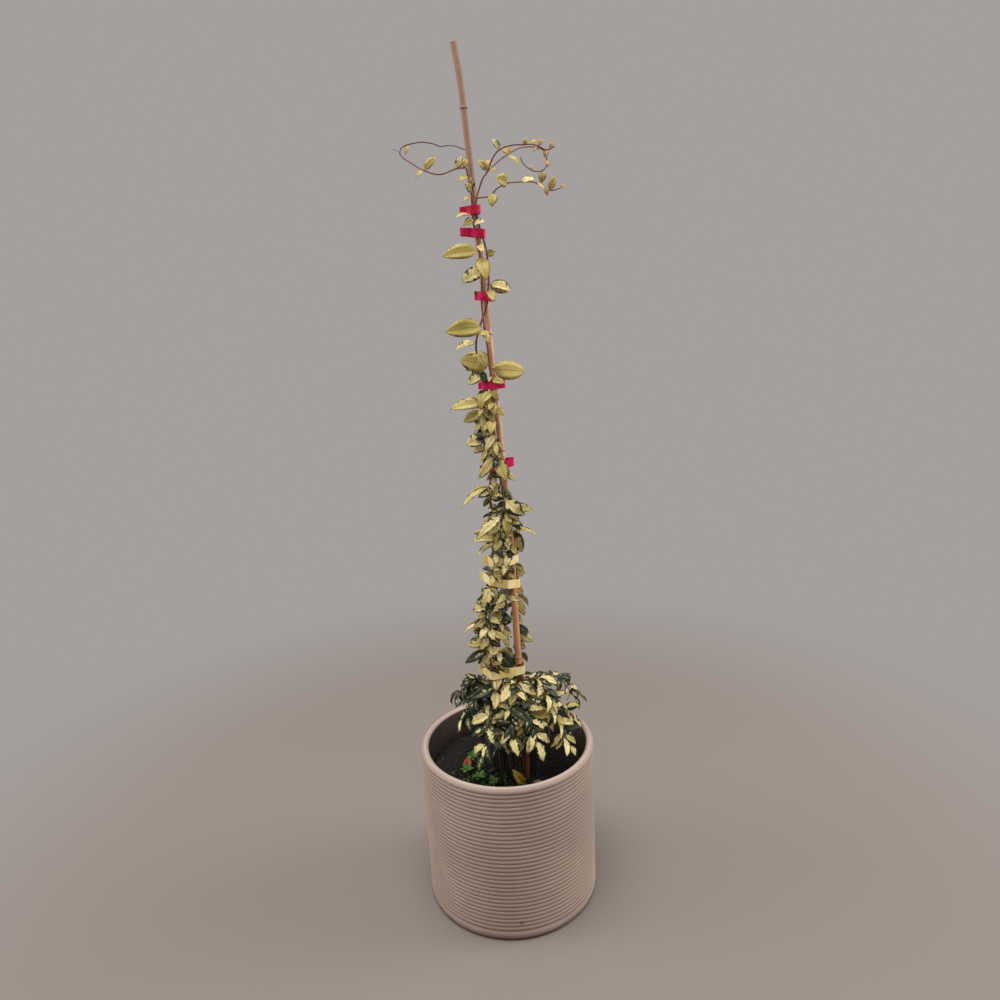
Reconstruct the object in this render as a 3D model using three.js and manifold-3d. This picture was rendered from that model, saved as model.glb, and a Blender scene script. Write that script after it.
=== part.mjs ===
// A variegated star jasmine tied to a bamboo cane, in a ribbed cylindrical pot.
// Millimetres, +Z up. The origin lies on the ground, under the middle of the pot.
import * as THREE from 'three';
import { mergeVertices } from 'three/addons/utils/BufferGeometryUtils.js';
import Module from 'manifold-3d';

const wasm = await Module();
wasm.setup();

// Driving sizes
const potRadius = 145;
const potHeight = 275;
const wallThickness = 12.5;
const floorThickness = 10;
const drainRadius = 11;
const ribCount = 34;
const ribDepth = 1.7;
const firstRib = 19.6;
const lastRib = 265;
const soilTop = 217;
const roundSides = 20;
const gap = 0.3;

const caneRadius = { foot: 5.2, top: 4.5 };
const stakeRadius = { foot: 5.4, top: 4 };
const tapeThickness = 0.8;
const holeRoom = 0.5;
const sampleStep = 2.4;
const leafRoom = 4.3;
const stemRoom = 2.5;

const paint = (color, roughness) => new THREE.MeshStandardMaterial({ color, roughness, metalness: 0 });
const finishes = {
  pot: paint(0x87736a, 0.75),
  soil: paint(0x2a211b, 1),
  bamboo: paint(0xa38460, 0.6),
  stake: paint(0x7a4a34, 0.7),
  leaf: paint(0xb5ab68, 0.5),
  creamLeaf: paint(0xd8cd98, 0.5),
  weed: paint(0x4f7a36, 0.6),
  redTape: paint(0xb81d58, 0.5),
  yellowTape: paint(0xe3c878, 0.5),
  orangeLeaf: paint(0xb5653a, 0.8),
  yellowLeaf: paint(0xcf9c3c, 0.8),
  brownLeaf: paint(0x9c8a78, 0.9),
};

const plant = new THREE.Group();
const add = (name, geometry, finish) => {
  const mesh = new THREE.Mesh(geometry, finishes[finish]);
  mesh.name = name;
  plant.add(mesh);
};

const point = (x, y, z) => new THREE.Vector3(x, y, z);
const points = (rows) => rows.map((row) => point(...row));
const radians = THREE.MathUtils.degToRad;

// Seeded draws, the same each time
let seed = 7;
const draw = (low, high) => {
  seed = (Math.imul(seed, 1103515245) + 12345) & 0x7fffffff;
  return low + ((high - low) * seed) / 0x7fffffff;
};

// A closed body skinned over rings of points. A ring of one point is a tip.
function loft(rings) {
  const places = rings.flat().flatMap((place) => place.toArray());
  const faces = [];
  const starts = [];
  let count = 0;
  for (const ring of rings) {
    starts.push(count);
    count += ring.length;
  }
  for (let row = 0; row + 1 < rings.length; row += 1) {
    const [low, high] = [rings[row], rings[row + 1]];
    const sides = Math.max(low.length, high.length);
    for (let side = 0; side < sides; side += 1) {
      const next = (side + 1) % sides;
      const [a, b] = [starts[row], starts[row + 1]];
      if (low.length === 1) faces.push(a, b + next, b + side);
      else if (high.length === 1) faces.push(a + side, a + next, b);
      else faces.push(a + side, a + next, b + next, a + side, b + next, b + side);
    }
  }
  const end = rings.at(-1);
  const last = starts.at(-1);
  for (let side = 1; side + 1 < rings[0].length; side += 1) faces.push(0, side + 1, side);
  for (let side = 1; side + 1 < end.length; side += 1) faces.push(last, last + side, last + side + 1);
  const geometry = new THREE.BufferGeometry();
  geometry.setAttribute('position', new THREE.Float32BufferAttribute(places, 3));
  geometry.setIndex(faces);
  return geometry;
}

// A geometry as a solid that can be joined and cut
function solid(geometry) {
  const bare = new THREE.BufferGeometry();
  bare.setAttribute('position', geometry.getAttribute('position'));
  bare.setIndex(geometry.getIndex());
  const merged = mergeVertices(bare, 1e-3);
  const index = merged.getIndex().array;
  const faces = [];
  for (let corner = 0; corner < index.length; corner += 3) {
    const [a, b, c] = index.slice(corner, corner + 3);
    if (a !== b && b !== c && c !== a) faces.push(a, b, c);
  }
  const vertProperties = new Float32Array(merged.getAttribute('position').array);
  return new wasm.Manifold(new wasm.Mesh({ numProp: 3, vertProperties, triVerts: new Uint32Array(faces) }));
}

function geometryOf(body) {
  const { vertProperties, triVerts } = body.getMesh();
  const geometry = new THREE.BufferGeometry();
  geometry.setAttribute('position', new THREE.Float32BufferAttribute(vertProperties, 3));
  geometry.setIndex([...triVerts]);
  return geometry;
}

// A smooth curve through hand-set points, as a line of places about `step` apart. `at` counts
// along the hand-set points, so 2.5 is half way between the third and the fourth.
function lineThrough(rows, step) {
  const curve = new THREE.CatmullRomCurve3(points(rows), false, 'catmullrom');
  const spans = rows.length - 1;
  const places = [curve.getPoint(0)];
  const firstOf = [0];
  for (let span = 0; span < spans; span += 1) {
    const parts = Math.max(1, Math.round(point(...rows[span]).distanceTo(point(...rows[span + 1])) / step));
    for (let part = 1; part <= parts; part += 1) places.push(curve.getPoint((span + part / parts) / spans));
    firstOf.push(places.length - 1);
  }
  const pointAt = (at) => {
    const span = Math.min(spans - 1, Math.floor(at));
    const along = firstOf[span] + (at - span) * (firstOf[span + 1] - firstOf[span]);
    const low = Math.min(places.length - 2, Math.floor(along));
    return places[low].clone().lerp(places[low + 1], along - low);
  };
  return { places, pointAt, spans };
}

// A tapered stem of a few sides along a line of places
function tube(places, startRadius, endRadius, sides) {
  let across = point(1, 0, 0);
  const rings = places.map((place, step) => {
    const before = places[Math.max(0, step - 1)];
    const after = places[Math.min(places.length - 1, step + 1)];
    const along = after.clone().sub(before).normalize();
    across = across.clone().addScaledVector(along, -across.dot(along)).normalize();
    const up = along.clone().cross(across);
    const radius = THREE.MathUtils.lerp(startRadius, endRadius, step / (places.length - 1));
    return Array.from({ length: sides }, (_, side) => {
      const angle = (2 * Math.PI * side) / sides;
      const corner = place.clone().addScaledVector(across, radius * Math.cos(angle));
      return corner.addScaledVector(up, radius * Math.sin(angle));
    });
  });
  return loft(rings);
}

// The pot: a straight wall with fine grooves between a smooth foot and a rounded rim
const potInside = potRadius - wallThickness;
const ribPitch = (lastRib - firstRib) / ribCount;
const footRadius = potRadius - 5.5;
const profile = [
  [drainRadius, 0], [footRadius, 0], [potRadius - 1.2, 5], [potRadius, 12],
  [potRadius, firstRib - ribPitch / 2],
];
for (let rib = 0; rib < ribCount; rib += 1) {
  const groove = firstRib + rib * ribPitch;
  profile.push([potRadius - ribDepth, groove], [potRadius, groove + ribPitch / 2]);
}
profile.push(
  [potRadius, potHeight - 4], [potRadius - 2.5, potHeight - 0.8], [potRadius - 6, potHeight],
  [potInside + 2.5, potHeight - 0.8], [potInside, potHeight - 4], [potInside, floorThickness],
  [drainRadius, floorThickness], [drainRadius, 0],
);
const lathe = (rows) => {
  const turned = new THREE.LatheGeometry(rows.map(([r, z]) => new THREE.Vector2(r, z)), roundSides);
  return turned.rotateX(Math.PI / 2);
};
add('pot', lathe(profile), 'pot');

// Where each stem runs, from its hole in the soil to its tip
const routes = {
  cane: [
    [24, -30, 427], [21, -27, 559], [19, -24, 653], [7, -18, 849], [-11, -8, 1132], [-21, -3, 1276],
    [-29, 0, 1336],
  ],
  stake: [
    [30, -29, 120], [30, -29, 218], [28, -22, 365], [26, -20, 423], [22, -16, 555], [19, -13, 613],
  ],
  a: [
    [9, -20, 190], [9, -20, 236], [3, -30, 326], [-8, -38, 423], [-3, -40, 490], [8, -40, 539],
    [12, -40, 580], [15, -38, 620], [15, -36, 668], [10, -34, 715], [4, -32, 773], [2, -30, 804],
    [1, -28, 843], [1, -28, 887], [-2, -26, 930], [-6, -25, 966], [-7, -23, 994], [-5, -20, 1029],
    [-8, -18, 1070], [-13, -17, 1098], [-14, -16, 1124], [-14, -16, 1144], [-18, -14, 1164],
    [-20, -14, 1174],
  ],
  leftRunner: [
    [-20, -14, 1174], [-34, -25, 1171], [-56, -35, 1163], [-78, -30, 1170], [-94, -20, 1181],
    [-107, -10, 1191], [-112, 0, 1201], [-106, 8, 1210], [-84, 18, 1216], [-67, 20, 1214],
    [-56, 20, 1210], [-44, 18, 1210], [-34, 14, 1208], [-19, 8, 1201], [-11, 6, 1197],
  ],
  b: [
    [-6, -10, 190], [-6, -10, 230], [-10, -25, 324], [-16, -35, 422], [-6, -25, 500], [-6, -22, 567],
    [-8, -22, 625], [-8, -25, 679], [-8, -28, 719], [0, -28, 757], [-13, -25, 783], [-16, -25, 815],
    [-12, -24, 851], [-9, -24, 880], [-17, -24, 912], [-18, -22, 935], [-11, -18, 959], [-1, -21, 983],
    [2, -21, 1000], [5, -14, 1029], [3, -14, 1064], [-4, -16, 1091], [-9, -15, 1120], [-6, -18, 1137],
  ],
  upperRunner: [
    [-6, -18, 1137], [2, -22, 1156], [9, -25, 1165], [18, -30, 1182], [28, -32, 1192], [45, -35, 1196],
    [60, -30, 1197], [73, -25, 1198], [84, -20, 1195], [94, -15, 1192], [106, -12, 1197],
  ],
  middleRunner: [
    [9, -25, 1165], [24, -15, 1179], [38, -8, 1189], [57, 0, 1199], [79, 8, 1201], [91, 12, 1197],
    [96, 14, 1184], [94, 12, 1175], [87, 8, 1169], [75, 4, 1169], [62, 0, 1177], [57, -4, 1187],
  ],
  lowerRunner: [
    [-6, -18, 1133], [3, -22, 1133], [13, -26, 1134], [21, -28, 1142], [33, -28, 1148], [43, -26, 1150],
    [64, -20, 1151], [77, -14, 1150], [91, -10, 1142], [100, -8, 1140], [113, -6, 1143],
  ],
  c: [
    [-1, -35, 190], [-1, -35, 240], [-10, -40, 347], [-17, -45, 406], [-22, -48, 460], [-23, -45, 510],
    [-16, -42, 555], [-8, -40, 598], [2, -38, 637], [7, -40, 677],
  ],
  d: [
    [23, -5, 190], [23, -5, 225], [20, -4, 325], [23, -4, 391], [26, -6, 456], [25, -6, 519],
    [24, -4, 570], [23, -3, 612], [22, -8, 661], [19, -9, 698],
  ],
};

// What is already in place: points, each with the room that it needs round it
const taken = [];
const claim = (place, room, owner) => taken.push({ place, room, owner });
const claimLine = (places, radius, owner) => {
  for (let order = 0; order + 1 < places.length; order += 1) {
    const [start, end] = [places[order], places[order + 1]];
    const parts = Math.ceil(start.distanceTo(end) / sampleStep);
    for (let part = 0; part < parts; part += 1) {
      claim(start.clone().lerp(end, part / parts), radius + stemRoom, owner);
    }
  }
};

// Each shoot is a stem or runner with its thickness. Its owner is the node that it belongs to.
const shoots = [];
const shoot = (owner, route, startRadius, endRadius, sides, step) => {
  const line = lineThrough(route, step);
  const body = solid(tube(line.places, startRadius, endRadius, sides));
  const hole = solid(tube(line.places, startRadius + holeRoom, endRadius + holeRoom, sides));
  claimLine(line.places, startRadius, owner);
  const made = { owner, line, body, hole, radius: startRadius, leaves: [] };
  shoots.push(made);
  return made;
};
const climbingStep = 24;
const runnerStep = 11;
const stems = {
  a: shoot('leafy_stem_a', routes.a, 2.4, 1.3, 5, climbingStep),
  leftRunner: shoot('leafy_stem_a', routes.leftRunner, 1.3, 0.8, 4, runnerStep),
  b: shoot('leafy_stem_b', routes.b, 2.4, 1.5, 5, climbingStep),
  upperRunner: shoot('leafy_stem_b', routes.upperRunner, 1.4, 0.8, 4, runnerStep),
  middleRunner: shoot('leafy_stem_b', routes.middleRunner, 1.1, 0.8, 4, runnerStep),
  lowerRunner: shoot('leafy_stem_b', routes.lowerRunner, 1.2, 0.8, 4, runnerStep),
  c: shoot('leafy_stem_c', routes.c, 2.1, 1.2, 5, climbingStep),
  d: shoot('leafy_stem_d', routes.d, 2.1, 1.2, 5, climbingStep),
};

// The sprays that arch out from the crown. Rows: foot x and y, heading, reach, crest, tip height.
const sprayRows = [
  [41, -14, 0, 70, 352, 312], [45, -31, -28, 58, 356, 288], [26, -44, -62, 42, 360, 314],
  [10, -47, -95, 30, 366, 322], [-10, -49, -130, 42, 358, 296], [-17, -32, 195, 54, 378, 340],
  [-22, -14, 165, 56, 388, 362], [-12, 6, 125, 74, 366, 318], [7, 6, 92, 88, 374, 308],
  [24, 14, 62, 84, 360, 318], [41, 3, 28, 88, 378, 324], [16, -34, -85, 24, 398, 368],
  [38, -22, -35, 40, 398, 368],
];
const sprays = sprayRows.map(([x, y, heading, reach, crest, tip], order) => {
  const out = point(Math.cos(radians(heading)), Math.sin(radians(heading)), 0);
  const foot = point(x, y, 0);
  const place = (share, height) => foot.clone().addScaledVector(out, reach * share).setZ(height).toArray();
  const route = [
    place(0, 204), place(0, 232), place(0.05, 290), place(0.18, crest - 16),
    place(0.42, crest), place(0.72, (crest * 2 + tip) / 3), place(1, tip),
  ];
  const name = `spray_${String(order + 1).padStart(2, '0')}`;
  return { ...shoot(name, route, 1.5, 0.9, 4, 30), heading, out };
});

function placeAtHeight(places, height) {
  const after = Math.max(1, places.findIndex((place) => place.z >= height));
  const share = (height - places[after - 1].z) / (places[after].z - places[after - 1].z);
  return places[after - 1].clone().lerp(places[after], share);
}

// The bamboo cane, with its joints and an open hole in each cut end
const jointReach = 4;
const jointSwell = 0.8;
function bambooRings(places, heights, radii, jointHeights, sides) {
  const joints = jointHeights.flatMap((z) => [z - jointReach, z, z + jointReach]);
  const all = [...heights, ...joints].sort((low, high) => low - high);
  return all.map((height) => {
    const centre = placeAtHeight(places, height);
    const taper = (height - heights[0]) / (heights.at(-1) - heights[0]);
    const radius = THREE.MathUtils.lerp(...radii, taper) + (jointHeights.includes(height) ? jointSwell : 0);
    return Array.from({ length: sides }, (_, side) => {
      const angle = (2 * Math.PI * side) / sides;
      return centre.clone().add(point(radius * Math.cos(angle), radius * Math.sin(angle), 0));
    });
  });
}
const boreDepth = 12;
const bore = ([x, y, z], radius) => {
  const drill = new THREE.CylinderGeometry(radius, radius, 2 * boreDepth, 8).rotateX(Math.PI / 2);
  return solid(drill.translate(x, y, z));
};
const caneLine = lineThrough(routes.cane, 10).places;
const caneJoints = [436, 605, 773, 945, 1112, 1252];
const [caneFoot, caneTop] = [routes.cane[0], routes.cane.at(-1)];
const caneHeights = [caneFoot[2], 520, 690, 860, 1030, 1180, 1300, caneTop[2]];
const caneRings = bambooRings(caneLine, caneHeights, [caneRadius.foot, caneRadius.top], caneJoints, 8);
const cane = solid(loft(caneRings)).subtract(bore(caneFoot, 2.6)).subtract(bore(caneTop, 2.2));
add('cane', geometryOf(cane), 'bamboo');
claimLine(caneLine, caneRadius.foot, 'cane');

// The short stake that stands in the soil behind the cane's foot
const stakeLine = lineThrough(routes.stake, 10).places;
const [stakeFoot, stakeTop] = [routes.stake[0][2], routes.stake.at(-1)[2]];
const stakeHeights = [stakeFoot, 218, 290, 365, 423, 490, 555, stakeTop];
const stakeRings = (room) => {
  const radii = [stakeRadius.foot + room, stakeRadius.top + room];
  return bambooRings(stakeLine, stakeHeights, radii, [], 8);
};
add('stake', loft(stakeRings(0)), 'stake');
claimLine(stakeLine, stakeRadius.foot, 'stake');

// The ties: flat loops of tape, pinched to a tab at one end. `left` and `right` are the loop's
// ends, `slope` is its fall to the right in degrees and `dip` how far its middle hangs. The near
// and far sides lie against what the tie holds.
const bundle = {
  cane: { places: caneLine, radius: caneRadius.foot },
  stake: { places: stakeLine, radius: stakeRadius.foot },
  a: { places: stems.a.line.places, radius: stems.a.radius },
  b: { places: stems.b.line.places, radius: stems.b.radius },
  c: { places: stems.c.line.places, radius: stems.c.radius },
  d: { places: stems.d.line.places, radius: stems.d.radius },
};
const upper = ['cane', 'a', 'b'];
const whole = ['cane', 'stake', 'a', 'b', 'c', 'd'];
const staked = ['stake', 'a', 'b', 'c', 'd'];
const tieRows = [
  { left: -24, right: -1.5, height: 1118, tape: 12, slope: -4, dip: 0, tab: 8, holds: upper },
  { left: -27, right: 4, height: 1087, tape: 12, slope: 6, dip: 0, tab: 6, holds: upper },
  { left: -13, right: 12, height: 999, tape: 13, slope: 6, dip: 0, tab: 4, holds: upper },
  { left: -14, right: 22, height: 873, tape: 13, slope: 0, dip: 0, tab: 4, holds: upper },
  { left: -14, right: 30, height: 752, tape: 13, slope: -12, dip: 0, tab: 8, holds: upper },
  { left: -17, right: 31, height: 602, tape: 13, slope: 0, dip: 0, tab: 8, holds: whole },
  { left: -25, right: 32, height: 568, tape: 14, slope: 14, dip: 0, tab: 6, holds: whole },
  { left: -33, right: 34, height: 416, tape: 14, slope: 2, dip: 1, tab: 8, holds: staked },
];
// The nearest and farthest that a held piece comes where the tape passes it
function sidesOf({ left, right, height, tape, slope, dip, holds }) {
  const half = (right - left) / 2;
  let [front, back] = [Infinity, -Infinity];
  for (const name of holds) {
    const { places, radius } = bundle[name];
    const across = placeAtHeight(places, height).x - (left + right) / 2;
    const middle = height - dip * (1 - (across / half) ** 2) - across * Math.tan(radians(slope));
    for (const edge of [-0.5, 0, 0.5]) {
      const { y } = placeAtHeight(places, middle + edge * tape);
      front = Math.min(front, y - radius - gap - tapeThickness);
      back = Math.max(back, y + radius + gap + tapeThickness);
    }
  }
  return { front, back };
}
const tieCorner = 9;
function tieOutline(half, depth, inset) {
  const corner = Math.min(depth, tieCorner);
  const outline = [];
  const steps = 2;
  for (const [quarter, endX, endY] of [[0, 1, 1], [1, -1, 1], [2, -1, -1], [3, 1, -1]]) {
    for (let step = 0; step <= steps; step += 1) {
      const angle = radians(90 * (quarter + step / steps));
      const x = endX * (half - corner) + (corner - inset) * Math.cos(angle);
      outline.push([x, endY * (depth - corner) + (corner - inset) * Math.sin(angle)]);
    }
  }
  return outline;
}
tieRows.forEach((row, order) => {
  const half = (row.right - row.left) / 2;
  const { front, back } = sidesOf(row);
  const depth = (back - front) / 2;
  const centre = point((row.left + row.right) / 2, (front + back) / 2, row.height);
  const vectors = (outline) => outline.map(([x, y]) => new THREE.Vector2(x, y));
  const ring = new THREE.Shape(vectors(tieOutline(half, depth, 0)));
  ring.holes.push(new THREE.Path(vectors(tieOutline(half, depth, tapeThickness))));
  const loop = new THREE.ExtrudeGeometry(ring, { depth: row.tape, bevelEnabled: false });
  const tab = new THREE.BoxGeometry(row.tab + tapeThickness, 2 * tapeThickness, row.tape);
  tab.translate(-half - row.tab / 2 + tapeThickness / 2, 0, row.tape / 2);
  const band = geometryOf(solid(loop).add(solid(tab)));
  band.translate(0, 0, -row.tape / 2);
  const sag = (x) => row.dip * (1 - (x / half) ** 2) + x * Math.tan(radians(row.slope));
  const places = band.getAttribute('position');
  for (let corner = 0; corner < places.count; corner += 1) {
    places.setZ(corner, places.getZ(corner) - sag(places.getX(corner)));
  }
  band.translate(...centre.toArray());
  add(`tie_${order + 1}`, band, row.holds === upper ? 'redTape' : 'yellowTape');
  const outline = tieOutline(half, depth, 0);
  outline.forEach(([x, y], corner) => {
    const [nextX, nextY] = outline[(corner + 1) % outline.length];
    const steps = Math.ceil(Math.hypot(nextX - x, nextY - y) / sampleStep);
    for (let step = 0; step < steps; step += 1) {
      const [alongX, alongY] = [x + ((nextX - x) * step) / steps, y + ((nextY - y) * step) / steps];
      for (let rise = -row.tape / 2; rise <= row.tape / 2; rise += row.tape / 4) {
        claim(centre.clone().add(point(alongX, alongY, rise - sag(alongX))), leafRoom, 'tie');
      }
    }
  });
});

// A leaf: a short stalk, then a keeled blade with a pointed tip. Its face turns from straight up
// towards `out` by `face` degrees.
const stations = [0.13, 0.38, 0.72, 1];
const stalkHalf = 0.8;
const bladeTop = 0.4;
const bladeKeel = 0.8;
const arch = 0.09;
function shapeLeaf(base, turn, rise, length, width, face, out, sunk) {
  const level = point(Math.cos(radians(turn)), Math.sin(radians(turn)), 0);
  const along = level.multiplyScalar(Math.cos(radians(rise))).setZ(Math.sin(radians(rise)));
  const lean = point(0, 0, Math.cos(radians(face))).addScaledVector(out, Math.sin(radians(face)));
  const normal = lean.addScaledVector(along, -lean.dot(along)).normalize();
  const side = normal.clone().cross(along);
  const centre = (share) => base.clone().addScaledVector(along, length * share)
    .addScaledVector(normal, 4 * arch * length * share * (1 - share));
  const halves = [stalkHalf, width / 2, 0.375 * width];
  const blade = halves.map((half, order) => {
    const middle = centre(stations[order]);
    const at = (across, up) => middle.clone().addScaledVector(side, across).addScaledVector(normal, up);
    return [at(half, bladeTop), at(-half, bladeTop), at(0, -bladeKeel)];
  });
  const rings = [[base.clone().addScaledVector(along, -sunk)], ...blade, [centre(1)]];
  return { rings, base, length, width };
}

// Points over a leaf's blade, close enough together to tell whether anything crosses it
function skinOf({ rings, base, length, width }) {
  const lines = rings.map((ring) => (ring.length === 1 ? [ring[0], ring[0], ring[0]] : ring));
  const shares = [0, ...stations];
  const rows = Math.ceil(length / sampleStep);
  const columns = 2 * Math.ceil(width / 2 / sampleStep);
  const skin = [];
  for (let row = 1; row <= rows; row += 1) {
    const share = row / rows;
    const upper = shares.findIndex((limit) => limit >= share - 1e-9);
    const blend = (share - shares[upper - 1]) / (shares[upper] - shares[upper - 1]);
    const [before, after] = [lines[upper - 1], lines[upper]];
    const [right, left, keel] = before.map((place, line) => place.clone().lerp(after[line], blend));
    for (let column = -columns / 2; column <= columns / 2; column += 1) {
      const edge = column < 0 ? left : right;
      const place = keel.clone().lerp(edge, Math.abs(column) / Math.max(1, columns / 2));
      skin.push({ place, reach: place.distanceTo(base) });
    }
  }
  return skin;
}

const ownRoom = 7;
const nearRange = 60;
const lowest = soilTop + 6;
const rimHeight = potHeight + 4;
const insideRim = potInside - 4;
function isFree(skin, owner) {
  const middle = skin[Math.floor(skin.length / 2)].place;
  const nearby = taken.filter(({ place }) => place.distanceToSquared(middle) < nearRange ** 2);
  return skin.every(({ place, reach }) => {
    const out = Math.hypot(place.x, place.y);
    if (place.z < lowest || (place.z < rimHeight && out > insideRim)) return false;
    return nearby.every((other) => (other.owner === owner && reach < ownRoom)
      || place.distanceToSquared(other.place) > other.room ** 2);
  });
}

// Sets one leaf on a shoot, swung or lifted a little where its place is taken. A leaf that finds
// no room is left off.
const rootDepth = 0.6;
const shifts = [
  [0, 0, 1], [18, 0, 1], [-18, 0, 1], [0, 18, 1], [0, -18, 1], [20, 15, 0.85], [-20, -15, 0.85],
  [35, 0, 0.8], [-35, 0, 0.8], [0, 32, 0.75], [0, -32, 0.75],
];
function setLeaf(stem, at, turn, rise, length, width, face, out) {
  const base = stem.line.pointAt(at);
  for (const [swing, lift, share] of shifts) {
    const [long, wide] = [length * share, width * share];
    const leaf = shapeLeaf(base, turn + swing, rise + lift, long, wide, face, out, stem.radius * rootDepth);
    const skin = skinOf(leaf);
    if (isFree(skin, stem.owner)) {
      for (const { place } of skin) claim(place, leafRoom, stem.owner);
      stem.leaves.push(solid(loft(leaf.rings)));
      return;
    }
  }
}

// The leaves that face the front. Rows: place along the stem, turn, rise, length, width, face.
const frontLeaves = {
  a: [
    [2.3, 250, -45, 30, 14, 75], [2.6, 300, -50, 30, 14, 75], [2.85, 215, -40, 32, 14, 70],
    [3.2, 320, -45, 28, 13, 75], [3.4, 325, -40, 34, 21, 85], [3.6, 215, -40, 36, 14, 70],
    [4.1, 315, -60, 37, 10, 70], [5, 210, -25, 29, 13, 70], [6.9, 235, -60, 29, 14, 80],
    [7.4, 250, -55, 20, 12, 80], [8.2, 255, -70, 34, 18, 85], [8.7, 330, -35, 41, 23, 80],
    [9.5, 350, -10, 29, 11, 60], [9.8, 325, -55, 38, 20, 85], [9.9, 195, -50, 45, 15, 70],
    [10.5, 280, -60, 27, 9, 80], [10.9, 235, -65, 33, 10, 80], [11.5, 255, -60, 29, 12, 80],
    [11.9, 335, -30, 21, 12, 70], [12.1, 285, -50, 22, 12, 80], [13.2, 335, 50, 30, 10, 30],
    [13.2, 355, -10, 55, 28, 80], [13.3, 175, 15, 45, 26, 85], [14.6, 285, -55, 23, 12, 70],
    [14.7, 190, -5, 57, 26, 75], [17.2, 200, -50, 34, 20, 85], [17.6, 290, -75, 40, 20, 85],
    [17.8, 190, -5, 53, 21, 80], [18, 295, -30, 22, 12, 60], [19, 315, 5, 22, 10, 60],
    [19.3, 230, -60, 32, 13, 85], [19.4, 190, 0, 28, 13, 30], [20.6, 215, -25, 17, 7, 30],
    [20.8, 220, 30, 22, 11, 70], [21.1, 275, 60, 15, 11, 80], [21.9, 220, -25, 18, 11, 50],
  ],
  leftRunner: [
    [0.3, 20, 60, 14, 8, 80], [0.9, 345, 65, 17, 10, 85], [3, 200, -40, 16, 6, 60],
    [3, 350, 40, 24, 10, 80], [5.7, 195, 20, 19, 5, 10], [7.3, 205, -50, 15, 5, 80],
  ],
  b: [
    [2.3, 200, -40, 34, 15, 70], [2.7, 190, -30, 30, 13, 70], [3.4, 190, -35, 30, 14, 75],
    [4.3, 200, -40, 30, 14, 75], [8, 190, -30, 55, 11, 15], [8, 215, -55, 19, 11, 80],
    [8.4, 320, -45, 23, 14, 80], [10.4, 205, -20, 28, 20, 75], [11.5, 190, -25, 32, 16, 70],
    [11.5, 290, -75, 37, 10, 60], [11.9, 190, -10, 49, 19, 65], [13.3, 200, -50, 28, 13, 80],
    [13.3, 215, 60, 28, 9, 60], [15, 185, -15, 33, 13, 50], [15.5, 315, 0, 23, 12, 60],
    [18.3, 335, -35, 27, 12, 60], [18.6, 345, -20, 35, 17, 60], [19.8, 340, 45, 18, 14, 80],
  ],
  upperRunner: [
    [2.1, 210, 65, 19, 10, 80], [2.1, 225, 45, 12, 7, 50], [2.2, 335, -10, 14, 7, 40],
    [2.4, 115, 80, 12, 8, 80], [4, 200, 50, 16, 8, 80], [4.4, 325, -60, 13, 11, 85],
    [6.1, 325, 65, 9, 6, 80], [6.6, 340, 15, 13, 7, 50], [7.7, 345, 40, 13, 6, 70],
    [8.1, 200, -20, 12, 6, 60], [9, 220, -65, 11, 7, 80], [9.3, 345, 55, 12, 5, 60],
  ],
  middleRunner: [
    [2, 345, -40, 24, 8, 30], [6, 270, -70, 12, 7, 80], [7.8, 195, -65, 17, 11, 85],
    [9, 195, 40, 10, 5, 60],
  ],
  lowerRunner: [
    [2.5, 250, -70, 20, 14, 85], [4.5, 205, 15, 19, 18, 85], [5.6, 350, 10, 20, 10, 60],
    [7.1, 345, -40, 17, 7, 40], [7.9, 335, -65, 11, 5, 60], [8.5, 345, 60, 20, 10, 80],
    [9.1, 200, 40, 11, 5, 60], [9.9, 350, 25, 11, 5, 60],
  ],
  c: [
    [2.2, 210, -45, 32, 14, 75], [2.5, 320, -50, 30, 14, 75], [2.65, 265, -55, 32, 15, 80],
    [2.8, 205, -35, 44, 18, 60], [3.9, 205, -50, 28, 14, 75], [4, 195, -20, 43, 14, 50],
    [4.3, 200, -5, 33, 14, 70], [4.6, 335, -15, 33, 11, 50], [4.9, 190, -15, 41, 10, 10],
    [5.1, 215, -45, 29, 17, 80], [5.1, 330, -15, 24, 11, 60], [5.6, 210, -20, 28, 17, 75],
    [6.2, 210, -50, 36, 22, 85], [6.2, 330, -35, 33, 19, 85], [7.5, 265, -70, 29, 14, 80],
    [7.9, 190, -25, 40, 12, 20], [8.1, 195, 0, 41, 14, 60], [8.1, 215, -55, 23, 14, 80],
    [8.8, 205, -35, 32, 20, 80], [9, 195, -35, 53, 15, 60],
  ],
  d: [
    [2.5, 340, -30, 34, 15, 70], [2.9, 320, -45, 30, 14, 70], [3.4, 335, -35, 30, 13, 70],
    [4.2, 340, -30, 28, 13, 70], [5.3, 335, -70, 40, 13, 75], [6.1, 340, -30, 22, 19, 80],
    [6.8, 340, -25, 25, 14, 70], [7.6, 325, -60, 38, 22, 80], [7.6, 345, -20, 40, 11, 20],
    [8.6, 345, -15, 38, 14, 60],
  ],
};
const toFront = point(0, -1, 0);
const toBack = point(0, 1, 0);
for (const [name, rows] of Object.entries(frontLeaves)) {
  for (const row of rows) setLeaf(stems[name], ...row, toFront);
}

// The leaves come in pairs, and the second of each pair turns to the back.
const pairedStems = ['a', 'b', 'c', 'd'];
const pairLength = 27;
for (const name of pairedStems) {
  for (const [at, turn, rise, length, width] of frontLeaves[name]) {
    if (length < pairLength) continue;
    const behind = -turn - 180 + draw(130, 230);
    const tilt = rise + draw(-15, 15);
    setLeaf(stems[name], at, behind, tilt, length * draw(0.75, 1), width, draw(55, 85), toBack);
  }
}

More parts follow.
